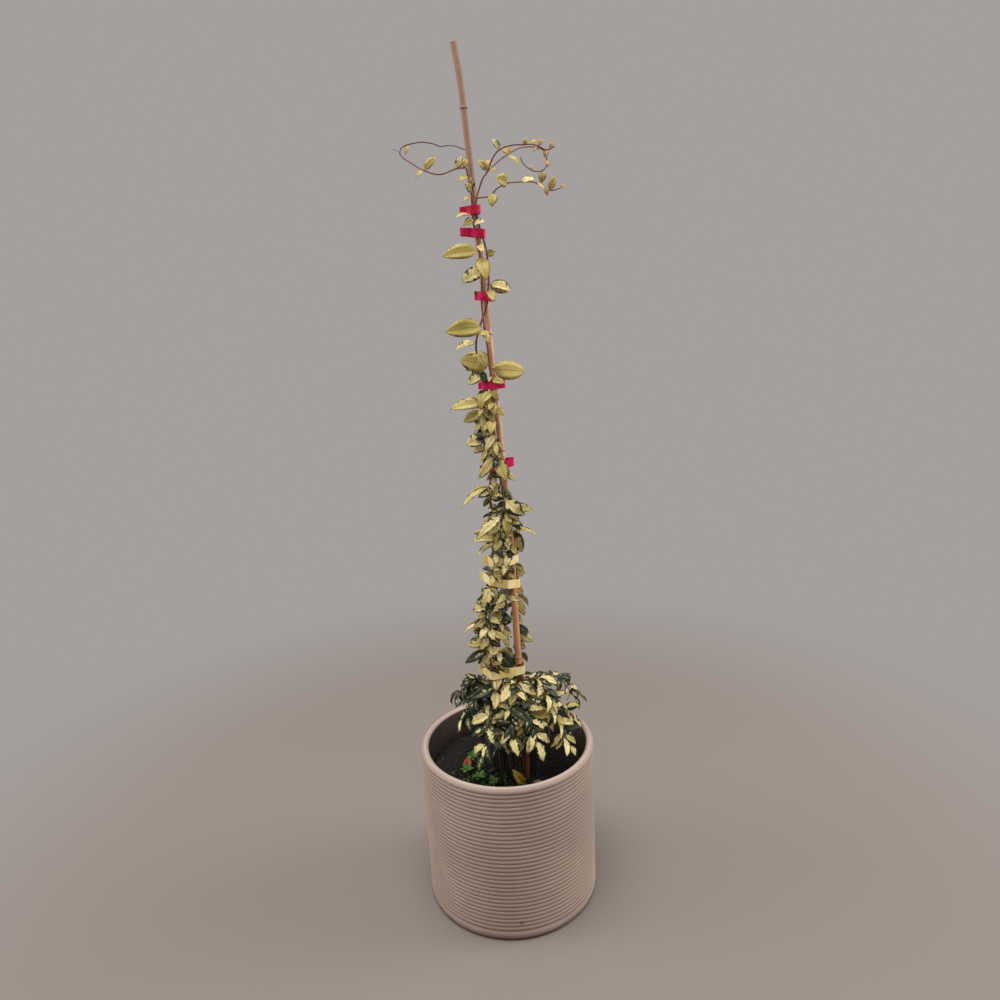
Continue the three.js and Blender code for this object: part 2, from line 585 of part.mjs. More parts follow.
// The sprays carry opposite pairs, smaller towards the tip, and one leaf at the end.
const pairsPerSpray = 5;
const [firstPair, lastPair] = [2.7, 5.6];
const shrink = 0.06;
const droop = 4;
for (const spray of sprays) {
  for (let pair = 0; pair < pairsPerSpray; pair += 1) {
    const at = firstPair + ((lastPair - firstPair) * pair) / (pairsPerSpray - 1);
    for (const hand of [-1, 1]) {
      const turn = spray.heading + hand * draw(48, 78);
      const length = draw(37, 46) * (1 - shrink * pair);
      const rise = draw(-42, -12) - droop * pair;
      setLeaf(spray, at, turn, rise, length, length * draw(0.4, 0.48), draw(35, 60), spray.out);
    }
  }
  const [turn, rise, length] = [spray.heading + draw(-15, 15), draw(-65, -40), draw(28, 36)];
  setLeaf(spray, spray.line.spans - 0.1, turn, rise, length, 15, 50, spray.out);
}

// Each leafy node is its shoots and their leaves, joined in one body.
for (const owner of new Set(shoots.map((made) => made.owner))) {
  const own = shoots.filter((made) => made.owner === owner);
  const joined = wasm.Manifold.union(own.flatMap((made) => [made.body, ...made.leaves]));
  add(owner, geometryOf(joined), owner.startsWith('spray') ? 'creamLeaf' : 'leaf');
}

// Seedlings on the soil. Rows: foot x and y, number of leaves, height.
const weedRows = [
  [-26, -50, 6, 11], [-50, -36, 7, 13], [-70, -16, 6, 12], [-60, 22, 7, 14], [-46, 46, 6, 12],
];
const weedRadius = 1.6;
const weedHoles = [];
weedRows.forEach(([x, y, leaves, height], order) => {
  const places = [point(x, y, soilTop - 14), point(x, y, soilTop + height)];
  const parts = [solid(tube(places, weedRadius, weedRadius * 0.8, 5))];
  weedHoles.push(solid(tube(places, weedRadius + holeRoom, weedRadius + holeRoom, 5)));
  for (let leaf = 0; leaf < leaves; leaf += 1) {
    const turn = (360 * leaf) / leaves + draw(-12, 12);
    const out = point(Math.cos(radians(turn)), Math.sin(radians(turn)), 0);
    const base = point(x, y, soilTop + height - 1.6 - (leaf % 2) * 2);
    parts.push(solid(loft(shapeLeaf(base, turn, draw(2, 40), draw(11, 15), draw(7, 9), 10, out, 1).rings)));
  }
  add(`weed_${order + 1}`, geometryOf(wasm.Manifold.union(parts)), 'weed');
});

// The soil fills the pot. Its top is lumpy, and everything that grows stands in a hole of its own.
const soilRadius = potInside - gap;
const lump = (x, y) => 2.2 * Math.sin(x / 17 + 1) * Math.cos(y / 14) + 1.4 * Math.sin((x + y) / 9);
const soilRows = [
  [0, floorThickness + gap], [soilRadius, floorThickness + gap], [soilRadius, soilTop],
  [108, soilTop], [80, soilTop], [52, soilTop], [24, soilTop], [0, soilTop],
];
const bed = lathe(soilRows);
const bedPlaces = bed.getAttribute('position');
for (let corner = 0; corner < bedPlaces.count; corner += 1) {
  const [x, y, z] = [bedPlaces.getX(corner), bedPlaces.getY(corner), bedPlaces.getZ(corner)];
  if (z > soilTop - 1) bedPlaces.setZ(corner, z + lump(x, y));
}
const stakeHole = loft(stakeRings(0.4));
const holes = [solid(stakeHole), ...weedHoles, ...shoots.map((made) => made.hole)];
const soil = solid(bed).subtract(wasm.Manifold.union(holes));
add('soil', geometryOf(soil), 'soil');

// Fallen leaves, each resting on the soil at its lowest corner.
// Rows: x, y, turn, rise, length, width, face, finish.
const fallenRows = [
  [-76, -6, 60, 35, 26, 15, 60, 'orangeLeaf'], [25, -47, 195, 62, 34, 15, 75, 'yellowLeaf'],
  [56, -58, 150, 8, 24, 12, 10, 'brownLeaf'],
];
const bedMesh = new THREE.Mesh(geometryOf(soil), new THREE.MeshBasicMaterial({ side: THREE.DoubleSide }));
fallenRows.forEach(([x, y, turn, rise, length, width, face, finish], order) => {
  const leaf = loft(shapeLeaf(point(x, y, 0), turn, rise, length, width, face, toFront, 0).rings);
  const places = leaf.getAttribute('position');
  let drop = Infinity;
  for (let corner = 0; corner < places.count; corner += 1) {
    const above = point(places.getX(corner), places.getY(corner), potHeight);
    const [hit] = new THREE.Raycaster(above, point(0, 0, -1)).intersectObject(bedMesh);
    drop = Math.min(drop, places.getZ(corner) - hit.point.z);
  }
  leaf.translate(0, 0, gap - drop);
  add(`fallen_leaf_${order + 1}`, leaf, finish);
});

export default plant;
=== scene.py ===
"""A variegated star jasmine tied to a bamboo cane, in a ribbed round pot. Metres, +Z up."""
import math
import random

import bpy
import numpy as np
from mathutils import Matrix, Vector, noise


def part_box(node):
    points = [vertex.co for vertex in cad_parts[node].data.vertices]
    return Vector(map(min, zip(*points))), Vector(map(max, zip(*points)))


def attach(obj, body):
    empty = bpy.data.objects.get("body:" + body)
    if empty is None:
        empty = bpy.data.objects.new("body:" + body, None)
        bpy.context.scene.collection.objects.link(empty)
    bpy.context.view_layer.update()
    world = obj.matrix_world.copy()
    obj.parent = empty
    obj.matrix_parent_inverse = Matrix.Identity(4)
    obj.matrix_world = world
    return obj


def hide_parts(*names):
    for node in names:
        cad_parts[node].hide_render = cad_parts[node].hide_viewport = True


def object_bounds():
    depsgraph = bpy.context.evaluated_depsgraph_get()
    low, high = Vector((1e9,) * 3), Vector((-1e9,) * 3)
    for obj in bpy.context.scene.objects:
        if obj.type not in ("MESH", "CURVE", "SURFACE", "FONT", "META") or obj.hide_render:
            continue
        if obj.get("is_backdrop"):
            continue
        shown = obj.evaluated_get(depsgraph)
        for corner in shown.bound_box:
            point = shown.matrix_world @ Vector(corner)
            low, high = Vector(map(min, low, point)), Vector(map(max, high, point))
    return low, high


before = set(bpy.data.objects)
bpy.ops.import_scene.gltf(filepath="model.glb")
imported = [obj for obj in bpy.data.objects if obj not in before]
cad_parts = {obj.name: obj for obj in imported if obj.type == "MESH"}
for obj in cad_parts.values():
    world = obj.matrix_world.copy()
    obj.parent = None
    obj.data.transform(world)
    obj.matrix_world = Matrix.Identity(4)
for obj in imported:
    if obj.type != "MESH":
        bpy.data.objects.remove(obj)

cad_low, cad_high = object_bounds()

# The view
# The camera stands a good metre in front of the pot at chest height and looks a little down on it.
# Its place, tilt and lens were fitted to the photo's pot and to the run of the cane.
camera_place = Vector((0, -1.14405, 0.96846))
tilt_down, turn, lean = math.radians(13.64), math.radians(-0.32), math.radians(-2.63)
turned = Matrix.Rotation(turn, 3, "Z")
ahead = turned @ Vector((0, math.cos(tilt_down), -math.sin(tilt_down)))
above = turned @ Vector((0, math.sin(tilt_down), math.cos(tilt_down)))
across = turned @ Vector((1, 0, 0))
view_right = math.cos(lean) * across + math.sin(lean) * above
view_up = math.cos(lean) * above - math.sin(lean) * across
camera_data = bpy.data.cameras.new("camera")
camera_data.lens = 27.04
camera_data.sensor_width = 36
camera = bpy.data.objects.new("camera", camera_data)
view_turn = Matrix((view_right, view_up, -ahead)).transposed().to_4x4()
camera.matrix_world = Matrix.Translation(camera_place) @ view_turn
bpy.context.scene.collection.objects.link(camera)
bpy.context.scene.camera = camera
bpy.context.scene.view_settings.view_transform = "Standard"


# The floor and the light
# A plain grey-brown studio floor that melts into an even pale surround behind the pot. A large soft
# panel hangs overhead and one stands at each side, much like the overcast yard in the photo.
def pure(red, green, blue):
    """A colour as the eye reads it, 0 to 255, turned into light."""
    shares = (red / 255, green / 255, blue / 255)
    return tuple(s / 12.92 if s <= 0.04045 else ((s + 0.055) / 1.055) ** 2.4 for s in shares)


def new_finish(name, colour, roughness, shine=0.5):
    """A plain material, its colour given as the eye reads it."""
    made = bpy.data.materials.new(name)
    made.use_nodes = True
    shader = made.node_tree.nodes["Principled BSDF"]
    shader.inputs["Base Color"].default_value = (*pure(*colour), 1)
    shader.inputs["Roughness"].default_value = roughness
    shader.inputs["Specular IOR Level"].default_value = shine
    return made


def put(material, kind, sockets=(), **settings):
    """One node in a material, with its settings and with its sockets set or linked."""
    made = material.node_tree.nodes.new("ShaderNode" + kind)
    for key, value in settings.items():
        setattr(made, key, value)
    for key, value in dict(sockets).items():
        if isinstance(value, bpy.types.NodeSocket):
            material.node_tree.links.new(value, made.inputs[key])
        else:
            made.inputs[key].default_value = value
    return made


def stepped(material, value, low, high):
    """0 at `low` and 1 at `high`, smooth between. The value at `low` may be the larger one."""
    sockets = {"Value": value, "From Min": low, "From Max": high}
    return put(material, "MapRange", sockets, interpolation_type="SMOOTHSTEP").outputs["Result"]


def object_place(material):
    return put(material, "TexCoord").outputs["Object"]


def deselect():
    bpy.ops.object.select_all(action="DESELECT")


def named(name):
    """The piece that was just made, under its own name."""
    made = bpy.context.object
    made.name = name
    made.data.name = name
    return made


surround = {"Color": (*pure(215, 209, 207), 1), "Strength": 0.55}
deselect()
bpy.ops.mesh.primitive_plane_add(size=40)
floor = named("studio_floor")
plain = new_finish("plain_floor", (134, 124, 116), 0.9)
from_plant = put(plain, "VectorMath", {0: object_place(plain)}, operation="LENGTH").outputs["Value"]
far_off = stepped(plain, from_plant, 0.62, 1.5)
near_shader = plain.node_tree.nodes["Principled BSDF"].outputs[0]
haze = put(plain, "Emission", surround).outputs[0]
blend = put(plain, "MixShader", {0: far_off, 1: near_shader, 2: haze}).outputs[0]
plain.node_tree.links.new(blend, plain.node_tree.nodes["Material Output"].inputs["Surface"])
floor.data.materials.append(plain)
floor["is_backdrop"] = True

studio = bpy.data.worlds.new("studio")
studio.use_nodes = True
for socket, value in surround.items():
    studio.node_tree.nodes["Background"].inputs[socket].default_value = value
bpy.context.scene.world = studio


def soft_light(name, place, size, power):
    """A round soft panel turned to the middle of the plant."""
    panel = bpy.data.lights.new(name, "AREA")
    panel.shape = "DISK"
    panel.size = size
    panel.energy = power
    lamp = bpy.data.objects.new(name, panel)
    lamp.location = place
    lamp.rotation_euler = (Vector((0, 0, 0.5)) - Vector(place)).to_track_quat("-Z", "Y").to_euler()
    bpy.context.scene.collection.objects.link(lamp)


soft_light("overhead", (-0.3, -0.5, 3.2), 2.2, 78)
soft_light("right_side", (3.0, 0.2, 1.7), 2.0, 60)
soft_light("left_side", (-3.0, 0.0, 1.7), 2.0, 34)


# The pot
# A straight round planter of fibre and clay cast in one piece, with half-round ribs all round, a
# smooth foot, a thick rolled rim and one drain hole. Its finish is matte and greige.
def reckon(material, operation, *values):
    return put(material, "Math", dict(enumerate(values)), operation=operation).outputs[0]


def plus(material, value, more, share):
    """A value with a share of another one added."""
    return reckon(material, "ADD", value, reckon(material, "MULTIPLY", more, share))


def mixed(material, share, first, second):
    """One colour laid over another by a share."""
    colours = [(*pure(*c), 1) if isinstance(c, tuple) else c for c in (first, second)]
    return put(material, "Mix", {0: share, 6: colours[0], 7: colours[1]}, data_type="RGBA").outputs[2]


def layered(material, colour, *layers):
    """Colours laid one after another over the first, each by its share and its strength."""
    for share, strength, over in layers:
        if strength != 1:
            share = reckon(material, "MULTIPLY", share, strength)
        colour = mixed(material, share, colour, over)
    return colour


def grain(material, where, scale, detail=3, roughness=0.5, stretch=None):
    """Noise of a given fineness, drawn out along the axes for which `stretch` is small."""
    if stretch:
        where = put(material, "Mapping", {"Vector": where, "Scale": stretch}).outputs[0]
    sockets = {"Vector": where, "Scale": scale, "Detail": detail, "Roughness": roughness}
    return put(material, "TexNoise", sockets).outputs["Fac"]


def dress(material, colour, height, depth):
    """Links a colour, and a relief of `depth` metres, to a material's shader."""
    shader = material.node_tree.nodes["Principled BSDF"].inputs
    material.node_tree.links.new(colour, shader["Base Color"])
    relief = put(material, "Bump", {"Height": height, "Distance": depth, "Strength": 1})
    material.node_tree.links.new(relief.outputs["Normal"], shader["Normal"])


def settle(piece, finish, slot, *nodes):
    """Every piece takes its finish, goes with the one body and stands for its nodes. Its slot is not used.
    """
    if finish:
        piece.data.materials.append(finish)
    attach(piece, "root")
    if nodes:
        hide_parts(*nodes)


def sew(threshold=0.0, outward=True):
    """Joins points that lie closer than `threshold` and turns all faces of the piece outwards."""
    bpy.ops.object.mode_set(mode="EDIT")
    bpy.ops.mesh.select_all(action="SELECT")
    if threshold:
        bpy.ops.mesh.remove_doubles(threshold=threshold)
    if outward:
        bpy.ops.mesh.normals_make_consistent(inside=False)
    bpy.ops.object.mode_set(mode="OBJECT")


def arc(centre, radius, start, end, steps):
    """Points on an arc in the pot's section, from one angle to another."""
    angles = [math.radians(start + (end - start) * step / steps) for step in range(steps + 1)]
    return [(centre[0] + radius * math.cos(a), centre[1] + radius * math.sin(a)) for a in angles]


pot_radius, pot_height, pot_wall, pot_floor = 145, 275, 12.5, 10
drain_radius, foot_corner, rim_corner, floor_corner = 11, 9, 6, 6
rib_count, rib_depth, first_rib, last_rib = 34, 2.1, 19.6, 265
rib_pitch = (last_rib - first_rib) / rib_count
inner_radius = pot_radius - pot_wall
section = [(drain_radius, 0), (60, 0), (pot_radius - foot_corner, 0)]
section += arc((pot_radius - foot_corner, foot_corner), foot_corner, -72, 0, 4)
section.append((pot_radius, first_rib - rib_pitch / 2))
for rib in range(rib_count):
    groove = first_rib + rib * rib_pitch
    for share in (0, 0.08, 0.24, 0.5, 0.76, 0.92):
        bulge = math.sqrt(1 - (2 * share - 1) ** 2)
        section.append((pot_radius - rib_depth * (1 - bulge), groove + share * rib_pitch))
section += [
    (pot_radius - rib_depth, last_rib), (pot_radius - 0.3, last_rib + 1.2), (pot_radius, last_rib + 3),
    *arc((pot_radius - rim_corner, pot_height - rim_corner), rim_corner, 0, 90, 5)[1:],
    *arc((inner_radius + rim_corner, pot_height - rim_corner), rim_corner, 100, 180, 5),
    (inner_radius, 240), (inner_radius, 218), (inner_radius, pot_floor + floor_corner),
    *arc((inner_radius - floor_corner, pot_floor + floor_corner), floor_corner, -20, -90, 3),
    (drain_radius, pot_floor), (drain_radius, 0),
]

# The section is drawn by extruding one point from place to place, and then spun round.
deselect()
bpy.ops.mesh.primitive_plane_add(size=0.001)
ribbed_pot = named("ribbed_pot")
bpy.ops.object.mode_set(mode="EDIT")
bpy.ops.mesh.merge(type="CENTER")
places = [Vector((out, 0, up)) * 0.001 for out, up in section]
bpy.ops.transform.translate(value=places[0])
for before, after in zip(places, places[1:]):
    bpy.ops.mesh.extrude_region_move(TRANSFORM_OT_translate={"value": after - before})
bpy.ops.mesh.select_all(action="SELECT")
bpy.ops.mesh.spin(steps=144, angle=math.tau, center=(0, 0, 0), axis=(0, 0, 1))
sew(0.00002)
bpy.ops.object.shade_smooth_by_angle(angle=math.radians(50))

clay = new_finish("greige_clay", (172, 150, 137), 0.72, 0.35)
place = object_place(clay)
axes = put(clay, "SeparateXYZ", {"Vector": place}).outputs
flat = put(clay, "CombineXYZ", {"X": axes["X"], "Y": axes["Y"]}).outputs[0]
reach = put(clay, "VectorMath", {0: flat}, operation="LENGTH").outputs["Value"]
cloud = grain(clay, place, 9, 4, 0.6)
speck = grain(clay, place, 900, 2, 0.6)
# Dust and shade lie in the grooves, and the crests are rubbed a little paler.
outside = reckon(clay, "GREATER_THAN", reach, (pot_radius - 3.5) / 1000)
in_groove = stepped(clay, reach, (pot_radius - 0.5) / 1000, (pot_radius - rib_depth + 0.1) / 1000)
# The rim's top is painted paler, a painted highlight on its upward face. The foot is painted
# darker, partly painted shade and partly soil splashed by watering.
on_rim = stepped(clay, axes["Z"], (pot_height - 7) / 1000, (pot_height - 0.5) / 1000)
foot_shade_and_splash = stepped(clay, plus(clay, axes["Z"], cloud, 0.012), 0.022, 0.007)
# The wall inside is painted dark all over as painted shade, and darker still near the soil's
# edge, where damp soil stains it.
inside = reckon(clay, "LESS_THAN", reach, (inner_radius + 1) / 1000)
damp = stepped(clay, plus(clay, axes["Z"], cloud, 0.05), 0.29, 0.235)
inside_shade_and_damp = reckon(clay, "MULTIPLY", inside, reckon(clay, "MULTIPLY_ADD", damp, 0.18, 0.8))
# One small reddish scuff low on the front
scuff = (0.0097, -pot_radius / 1000, 0.034)
to_scuff = put(clay, "VectorMath", {0: place, 1: scuff}, operation="DISTANCE").outputs["Value"]
scuffed = stepped(clay, plus(clay, to_scuff, speck, 0.004), 0.0075, 0.004)
body = layered(
    clay, mixed(clay, stepped(clay, cloud, 0.35, 0.7), (166, 145, 132), (178, 156, 142)),
    (reckon(clay, "MULTIPLY", outside, in_groove), 0.55, (104, 84, 73)),
    (stepped(clay, speck, 0.62, 0.8), 1, (190, 172, 160)), (on_rim, 0.35, (196, 178, 166)),
    (foot_shade_and_splash, 0.6, (104, 80, 66)), (inside_shade_and_damp, 1, (26, 18, 16)), (scuffed, 0.5, (110, 62, 50)),
)
dress(clay, body, plus(clay, speck, cloud, 0.6), 0.00025)
settle(ribbed_pot, clay, "pot", "pot")

# The soil
# Dark potting mix of composted bark and peat, filled to 58 mm below the rim. Its top is lumpy from
# watering, and chips of bark and a few white grains of perlite lie on it.
soil_top, soil_gap = 217, 0.3
soil_radius, soil_depth = inner_radius - soil_gap, soil_top - pot_floor - soil_gap


def lump(x, y):
    """The soil's height above its level, in millimetres."""
    swell = 2.2 * math.sin(x / 17 + 1) * math.cos(y / 14) + 1.4 * math.sin((x + y) / 9)
    crumbs = noise.noise(Vector((x / 9, y / 9, 0))) * 2.4
    return swell + (crumbs + noise.noise(Vector((x / 3.4, y / 3.4, 5))) * 1.5)


deselect()
soil_middle = (0, 0, (soil_top - soil_depth / 2) / 1000)
bpy.ops.mesh.primitive_cylinder_add(vertices=120, radius=soil_radius / 1000, depth=soil_depth / 1000,
                                    location=soil_middle)
potting_mix = named("potting_mix")
bpy.ops.object.transform_apply(location=True, rotation=False, scale=False)


def select_faces(piece, chosen):
    """Selects a piece's faces by a test on each, ready for edit mode."""
    bpy.ops.object.mode_set(mode="OBJECT")
    for part in (*piece.data.vertices, *piece.data.edges):
        part.select = False
    for face in piece.data.polygons:
        face.select = chosen(face)
    bpy.ops.object.mode_set(mode="EDIT")
    bpy.ops.mesh.select_mode(type="FACE")


select_faces(potting_mix, lambda face: face.normal.z > 0.9)
soil_rings, ring_width = 30, 0.0043
for ring in range(soil_rings):
    bpy.ops.mesh.inset(thickness=ring_width)
bpy.ops.object.mode_set(mode="OBJECT")
for vertex in potting_mix.data.vertices:
    if vertex.co.z > (soil_top - 1) / 1000:
        vertex.co.z += lump(vertex.co.x * 1000, vertex.co.y * 1000) / 1000
bpy.ops.object.shade_smooth()

peat = new_finish("damp_peat", (40, 31, 26), 0.95)
place = object_place(peat)
crumb = grain(peat, place, 420, 5, 0.65)
fibre = grain(peat, place, 300, 2, stretch=(1, 5, 2))
# The peat is painted darker than its own colour, as painted shade inside the pot.
peat_and_painted_shade = mixed(peat, stepped(peat, crumb, 0.35, 0.7), (13, 10, 8), (34, 26, 21))
peat_and_painted_shade = mixed(peat, stepped(peat, fibre, 0.66, 0.74), peat_and_painted_shade, (66, 50, 38))
dress(peat, peat_and_painted_shade, reckon(peat, "ADD", crumb, grain(peat, place, 90, 3, 0.6)), 0.0022)
settle(potting_mix, peat, "soil", "soil")


def join_all(parts, name):
    deselect()
    for part in parts:
        part.select_set(True)
    bpy.context.view_layer.objects.active = parts[0]
    bpy.ops.object.join()
    return named(name)


def points_of(mesh):
    places = np.empty(len(mesh.vertices) * 3, dtype=np.float32)
    mesh.vertices.foreach_get("co", places)
    return places.reshape(-1, 3).astype(float)


def copied(master, places, tint, finish=None, name="copy"):
    """A copy of a modelled shape with its points at new places in millimetres. Every point
    carries one tint, for the material to read."""
    mesh = master.data.copy()
    mesh.vertices.foreach_set("co", np.asarray(places / 1000, dtype=np.float32).ravel())
    layer = mesh.attributes.new("tint", "FLOAT_COLOR", "POINT")
    layer.data.foreach_set("color", list(tint) * len(mesh.vertices))
    if finish:
        mesh.materials.append(finish)
    made = bpy.data.objects.new(name, mesh)
    bpy.context.scene.collection.objects.link(made)
    return made


def tint_parts(material):
    tint = put(material, "Attribute", attribute_name="tint").outputs["Color"]
    return put(material, "SeparateColor", {"Color": tint}).outputs


def rolled(turn, tip, axis):
    """A turn about the upright after a tip about a level axis, for rows of points."""
    return np.array(Matrix.Rotation(turn, 3, "Z") @ Matrix.Rotation(tip, 3, axis)).T


litter = random.Random(5)
litter_reach, chip_count = 128, 430
deselect()
bpy.ops.mesh.primitive_ico_sphere_add(subdivisions=1, radius=1)
chip_shape = named("chip_shape")
chip_points = points_of(chip_shape.data)
chips = []
for count in range(chip_count):
    angle, out = litter.uniform(0, math.tau), litter_reach * math.sqrt(litter.random())
    x, y = out * math.cos(angle), out * math.sin(angle)
    pale = count % 24 == 0
    long = litter.uniform(1.0, 1.6) if pale else litter.uniform(1.6, 5.2)
    sizes = (long, long * litter.uniform(0.35, 0.8), long * litter.uniform(0.22, 0.5))
    roll = rolled(litter.uniform(0, math.tau), litter.uniform(-0.5, 0.5), "X")
    rough = 1 + np.array([litter.uniform(-0.25, 0.25) for _ in chip_points])[:, None]
    spots = (chip_points * rough * sizes) @ roll + (x, y, soil_top + lump(x, y) + sizes[2] * 0.4)
    tint = (1 if pale else litter.uniform(0, 0.6), litter.random(), 0, 1)
    chips.append(copied(chip_shape, spots, tint))
bpy.data.objects.remove(chip_shape)
bark_chips = join_all(chips, "bark_chips")

bark = new_finish("bark_and_perlite", (80, 60, 46), 0.9)
place, tint = object_place(bark), tint_parts(bark)
woody = layered(
    bark, mixed(bark, tint["Green"], (28, 20, 16), (68, 50, 37)),
    (stepped(bark, grain(bark, place, 500), 0.4, 0.7), 1, (20, 15, 12)),
    (stepped(bark, tint["Red"], 0.7, 0.9), 1, (150, 144, 134)),
)
dress(bark, woody, grain(bark, place, 700), 0.0004)
settle(bark_chips, bark, "soil")

# The cane and the stake
# A bamboo cane with its joints, sawn off and hollow at both ends, and a short reddish stake that
# stands in the soil behind its foot. The cane is tied to the stake and to the stems.
routes = {
    "cane": [
        (24, -30, 427), (21, -27, 559), (19, -24, 653), (7, -18, 849), (-11, -8, 1132), (-21, -3, 1276),
        (-29, 0, 1336),
    ],
    "stake": [
        (30, -29, 120), (30, -29, 218), (28, -22, 365), (26, -20, 423), (22, -16, 555), (19, -13, 613),
    ],
}


def line_through(rows, step):
    """A smooth line through given points, and where on it each of them lies."""
    spots = np.array(rows, dtype=float)
    spots = np.vstack([2 * spots[0] - spots[1], spots, 2 * spots[-1] - spots[-2]])
    places, first_of = [spots[1]], [0]
    for before, start, end, after in zip(spots, spots[1:], spots[2:], spots[3:]):
        parts = max(1, int(np.linalg.norm(end - start) / step + 0.5))
        lead, trail = (end - before) / 2, (after - start) / 2
        for part in range(1, parts + 1):
            share = part / parts
            square = (3 * (end - start) - 2 * lead - trail) * share ** 2
            places.append(start + lead * share + square + (2 * (start - end) + lead + trail) * share ** 3)
        first_of.append(len(places) - 1)
    return np.array(places), first_of


def rod(name, places, radii, resolution):
    """A closed round rod along a line, its thickness set at each place, in millimetres."""
    curve = bpy.data.curves.new(name, "CURVE")
    curve.dimensions = "3D"
    curve.bevel_depth = 0.001
    curve.bevel_resolution = resolution
    curve.use_fill_caps = True
    spline = curve.splines.new("POLY")
    spline.points.add(len(places) - 1)
    for spot, where, radius in zip(spline.points, places, radii):
        spot.co = (*(where / 1000), 1)
        spot.radius = radius
    made = bpy.data.objects.new(name, curve)
    bpy.context.scene.collection.objects.link(made)
    deselect()
    made.select_set(True)
    bpy.context.view_layer.objects.active = made
    bpy.ops.object.convert(target="MESH")
    made = bpy.context.object
    sew(0.000005)
    while made.data.uv_layers:
        made.data.uv_layers.remove(made.data.uv_layers[0])
    return made


def wooden_rod(name, route, foot_radius, top_radius, joints):
    """A rod with a raised ring and a fine groove at each joint, marked for its material."""
    places, _ = line_through(route, 3)
    near_joint = (-4, -2.2, -1.1, -0.5, 0, 0.5, 1.4, 2.6)
    extra = [[np.interp(joint + step, places[:, 2], places[:, axis]) for axis in range(3)]
             for joint in joints for step in near_joint]
    places = np.vstack([places, *extra])
    places = places[np.argsort(places[:, 2])]
    heights = places[:, 2]
    radii = np.interp(heights, heights[[0, -1]], (foot_radius, top_radius))
    ring = np.zeros(len(places))
    for joint in joints:
        away = heights - joint
        radii += 0.85 * np.exp(-(away / 1.7) ** 2) - 0.75 * np.exp(-((away + 1.3) / 0.4) ** 2)
        ring += np.exp(-((away - 0.2) / 1.1) ** 2)
    radii += [0.09 * noise.noise(Vector((0, 0, height / 14))) for height in heights]
    made = rod(name, places, radii, 8)
    layer = made.data.attributes.new("tint", "FLOAT_COLOR", "POINT")
    rings = np.interp(points_of(made.data)[:, 2] * 1000, heights, np.clip(ring, 0, 1))
    for spot, value in zip(layer.data, rings):
        spot.color = (value, 0, 0, 1)
    return made


def saw_open(piece, end, wall):
    """Opens one sawn end: its face is inset by the wall's thickness and pushed in, and the hollow's floor is
    marked for painted shade.
    """
    end_reach, hollow_depth = 0.006, 0.012
    bpy.context.view_layer.objects.active = piece
    select_faces(piece, lambda face: len(face.vertices) == 3 and (face.center - end).length < end_reach)
    bpy.ops.mesh.inset(thickness=wall)
    bpy.ops.object.mode_set(mode="OBJECT")
    cap = next(face for face in piece.data.polygons if face.select)
    inward = cap.normal * -hollow_depth
    bpy.ops.object.mode_set(mode="EDIT")
    bpy.ops.mesh.extrude_region_move(TRANSFORM_OT_translate={"value": inward})
    bpy.ops.object.mode_set(mode="OBJECT")
    layer = piece.data.attributes["tint"]
    for face in piece.data.polygons:
        if face.select:
            for corner in face.vertices:
                layer.data[corner].color = (0, 1, 0, 1)


cane_joints = (436, 605, 773, 945, 1112, 1252)
cane_foot, stake_foot = 5.2, 5.4
bamboo_cane = wooden_rod("bamboo_cane", routes["cane"], cane_foot, 4.5, cane_joints)
saw_open(bamboo_cane, Vector(routes["cane"][0]) / 1000, 0.0024)
saw_open(bamboo_cane, Vector(routes["cane"][-1]) / 1000, 0.0021)
bpy.ops.object.shade_smooth_by_angle(angle=math.radians(45))
red_stake = wooden_rod("red_stake", routes["stake"], stake_foot, 4.0, ())
bpy.ops.object.shade_smooth_by_angle(angle=math.radians(45))


def streaked(made, pale, dark, knot):
    """Wood or bamboo with streaks along its length and dark rings at its joints."""
    place, tint = object_place(made), tint_parts(made)
    streak = grain(made, place, 700, 3, 0.6, (1, 1, 0.06))
    patch = grain(made, place, 45, 4, 0.6, (1, 1, 0.35))
    # The tint's green part paints the hollow floor of a sawn end nearly black, as painted shade.
    colour = layered(
        made, pale, (stepped(made, streak, 0.38, 0.66), 0.6, dark),
        (stepped(made, patch, 0.5, 0.72), 0.7, knot), (tint["Red"], 0.8, (84, 52, 38)),
        (tint["Green"], 1, (30, 22, 17)),
    )
    dress(made, colour, streak, 0.0003)


# The cane is salmon at its foot and greyer towards its top. Where the stems crowd it, it is dark
# red, partly its own colour and partly painted shade from the leaves round it.
bamboo = new_finish("weathered_bamboo", (190, 150, 112), 0.55)
height = put(bamboo, "SeparateXYZ", {"Vector": object_place(bamboo)}).outputs["Z"]
tone = layered(
    bamboo, mixed(bamboo, stepped(bamboo, height, 0.585, 0.615), (222, 162, 108), (170, 110, 78)),
    (stepped(bamboo, height, 0.68, 0.75), 1, (232, 180, 138)),
    (stepped(bamboo, height, 1.02, 1.15), 1, (138, 108, 92)),
)
streaked(bamboo, tone, (168, 120, 88), (158, 108, 80))
red_wood = new_finish("stained_stake", (138, 82, 58), 0.6)
streaked(red_wood, (150, 84, 58), (108, 56, 38), (84, 46, 34))
settle(bamboo_cane, bamboo, "bamboo", "cane")
settle(red_stake, red_wood, "stake", "stake")

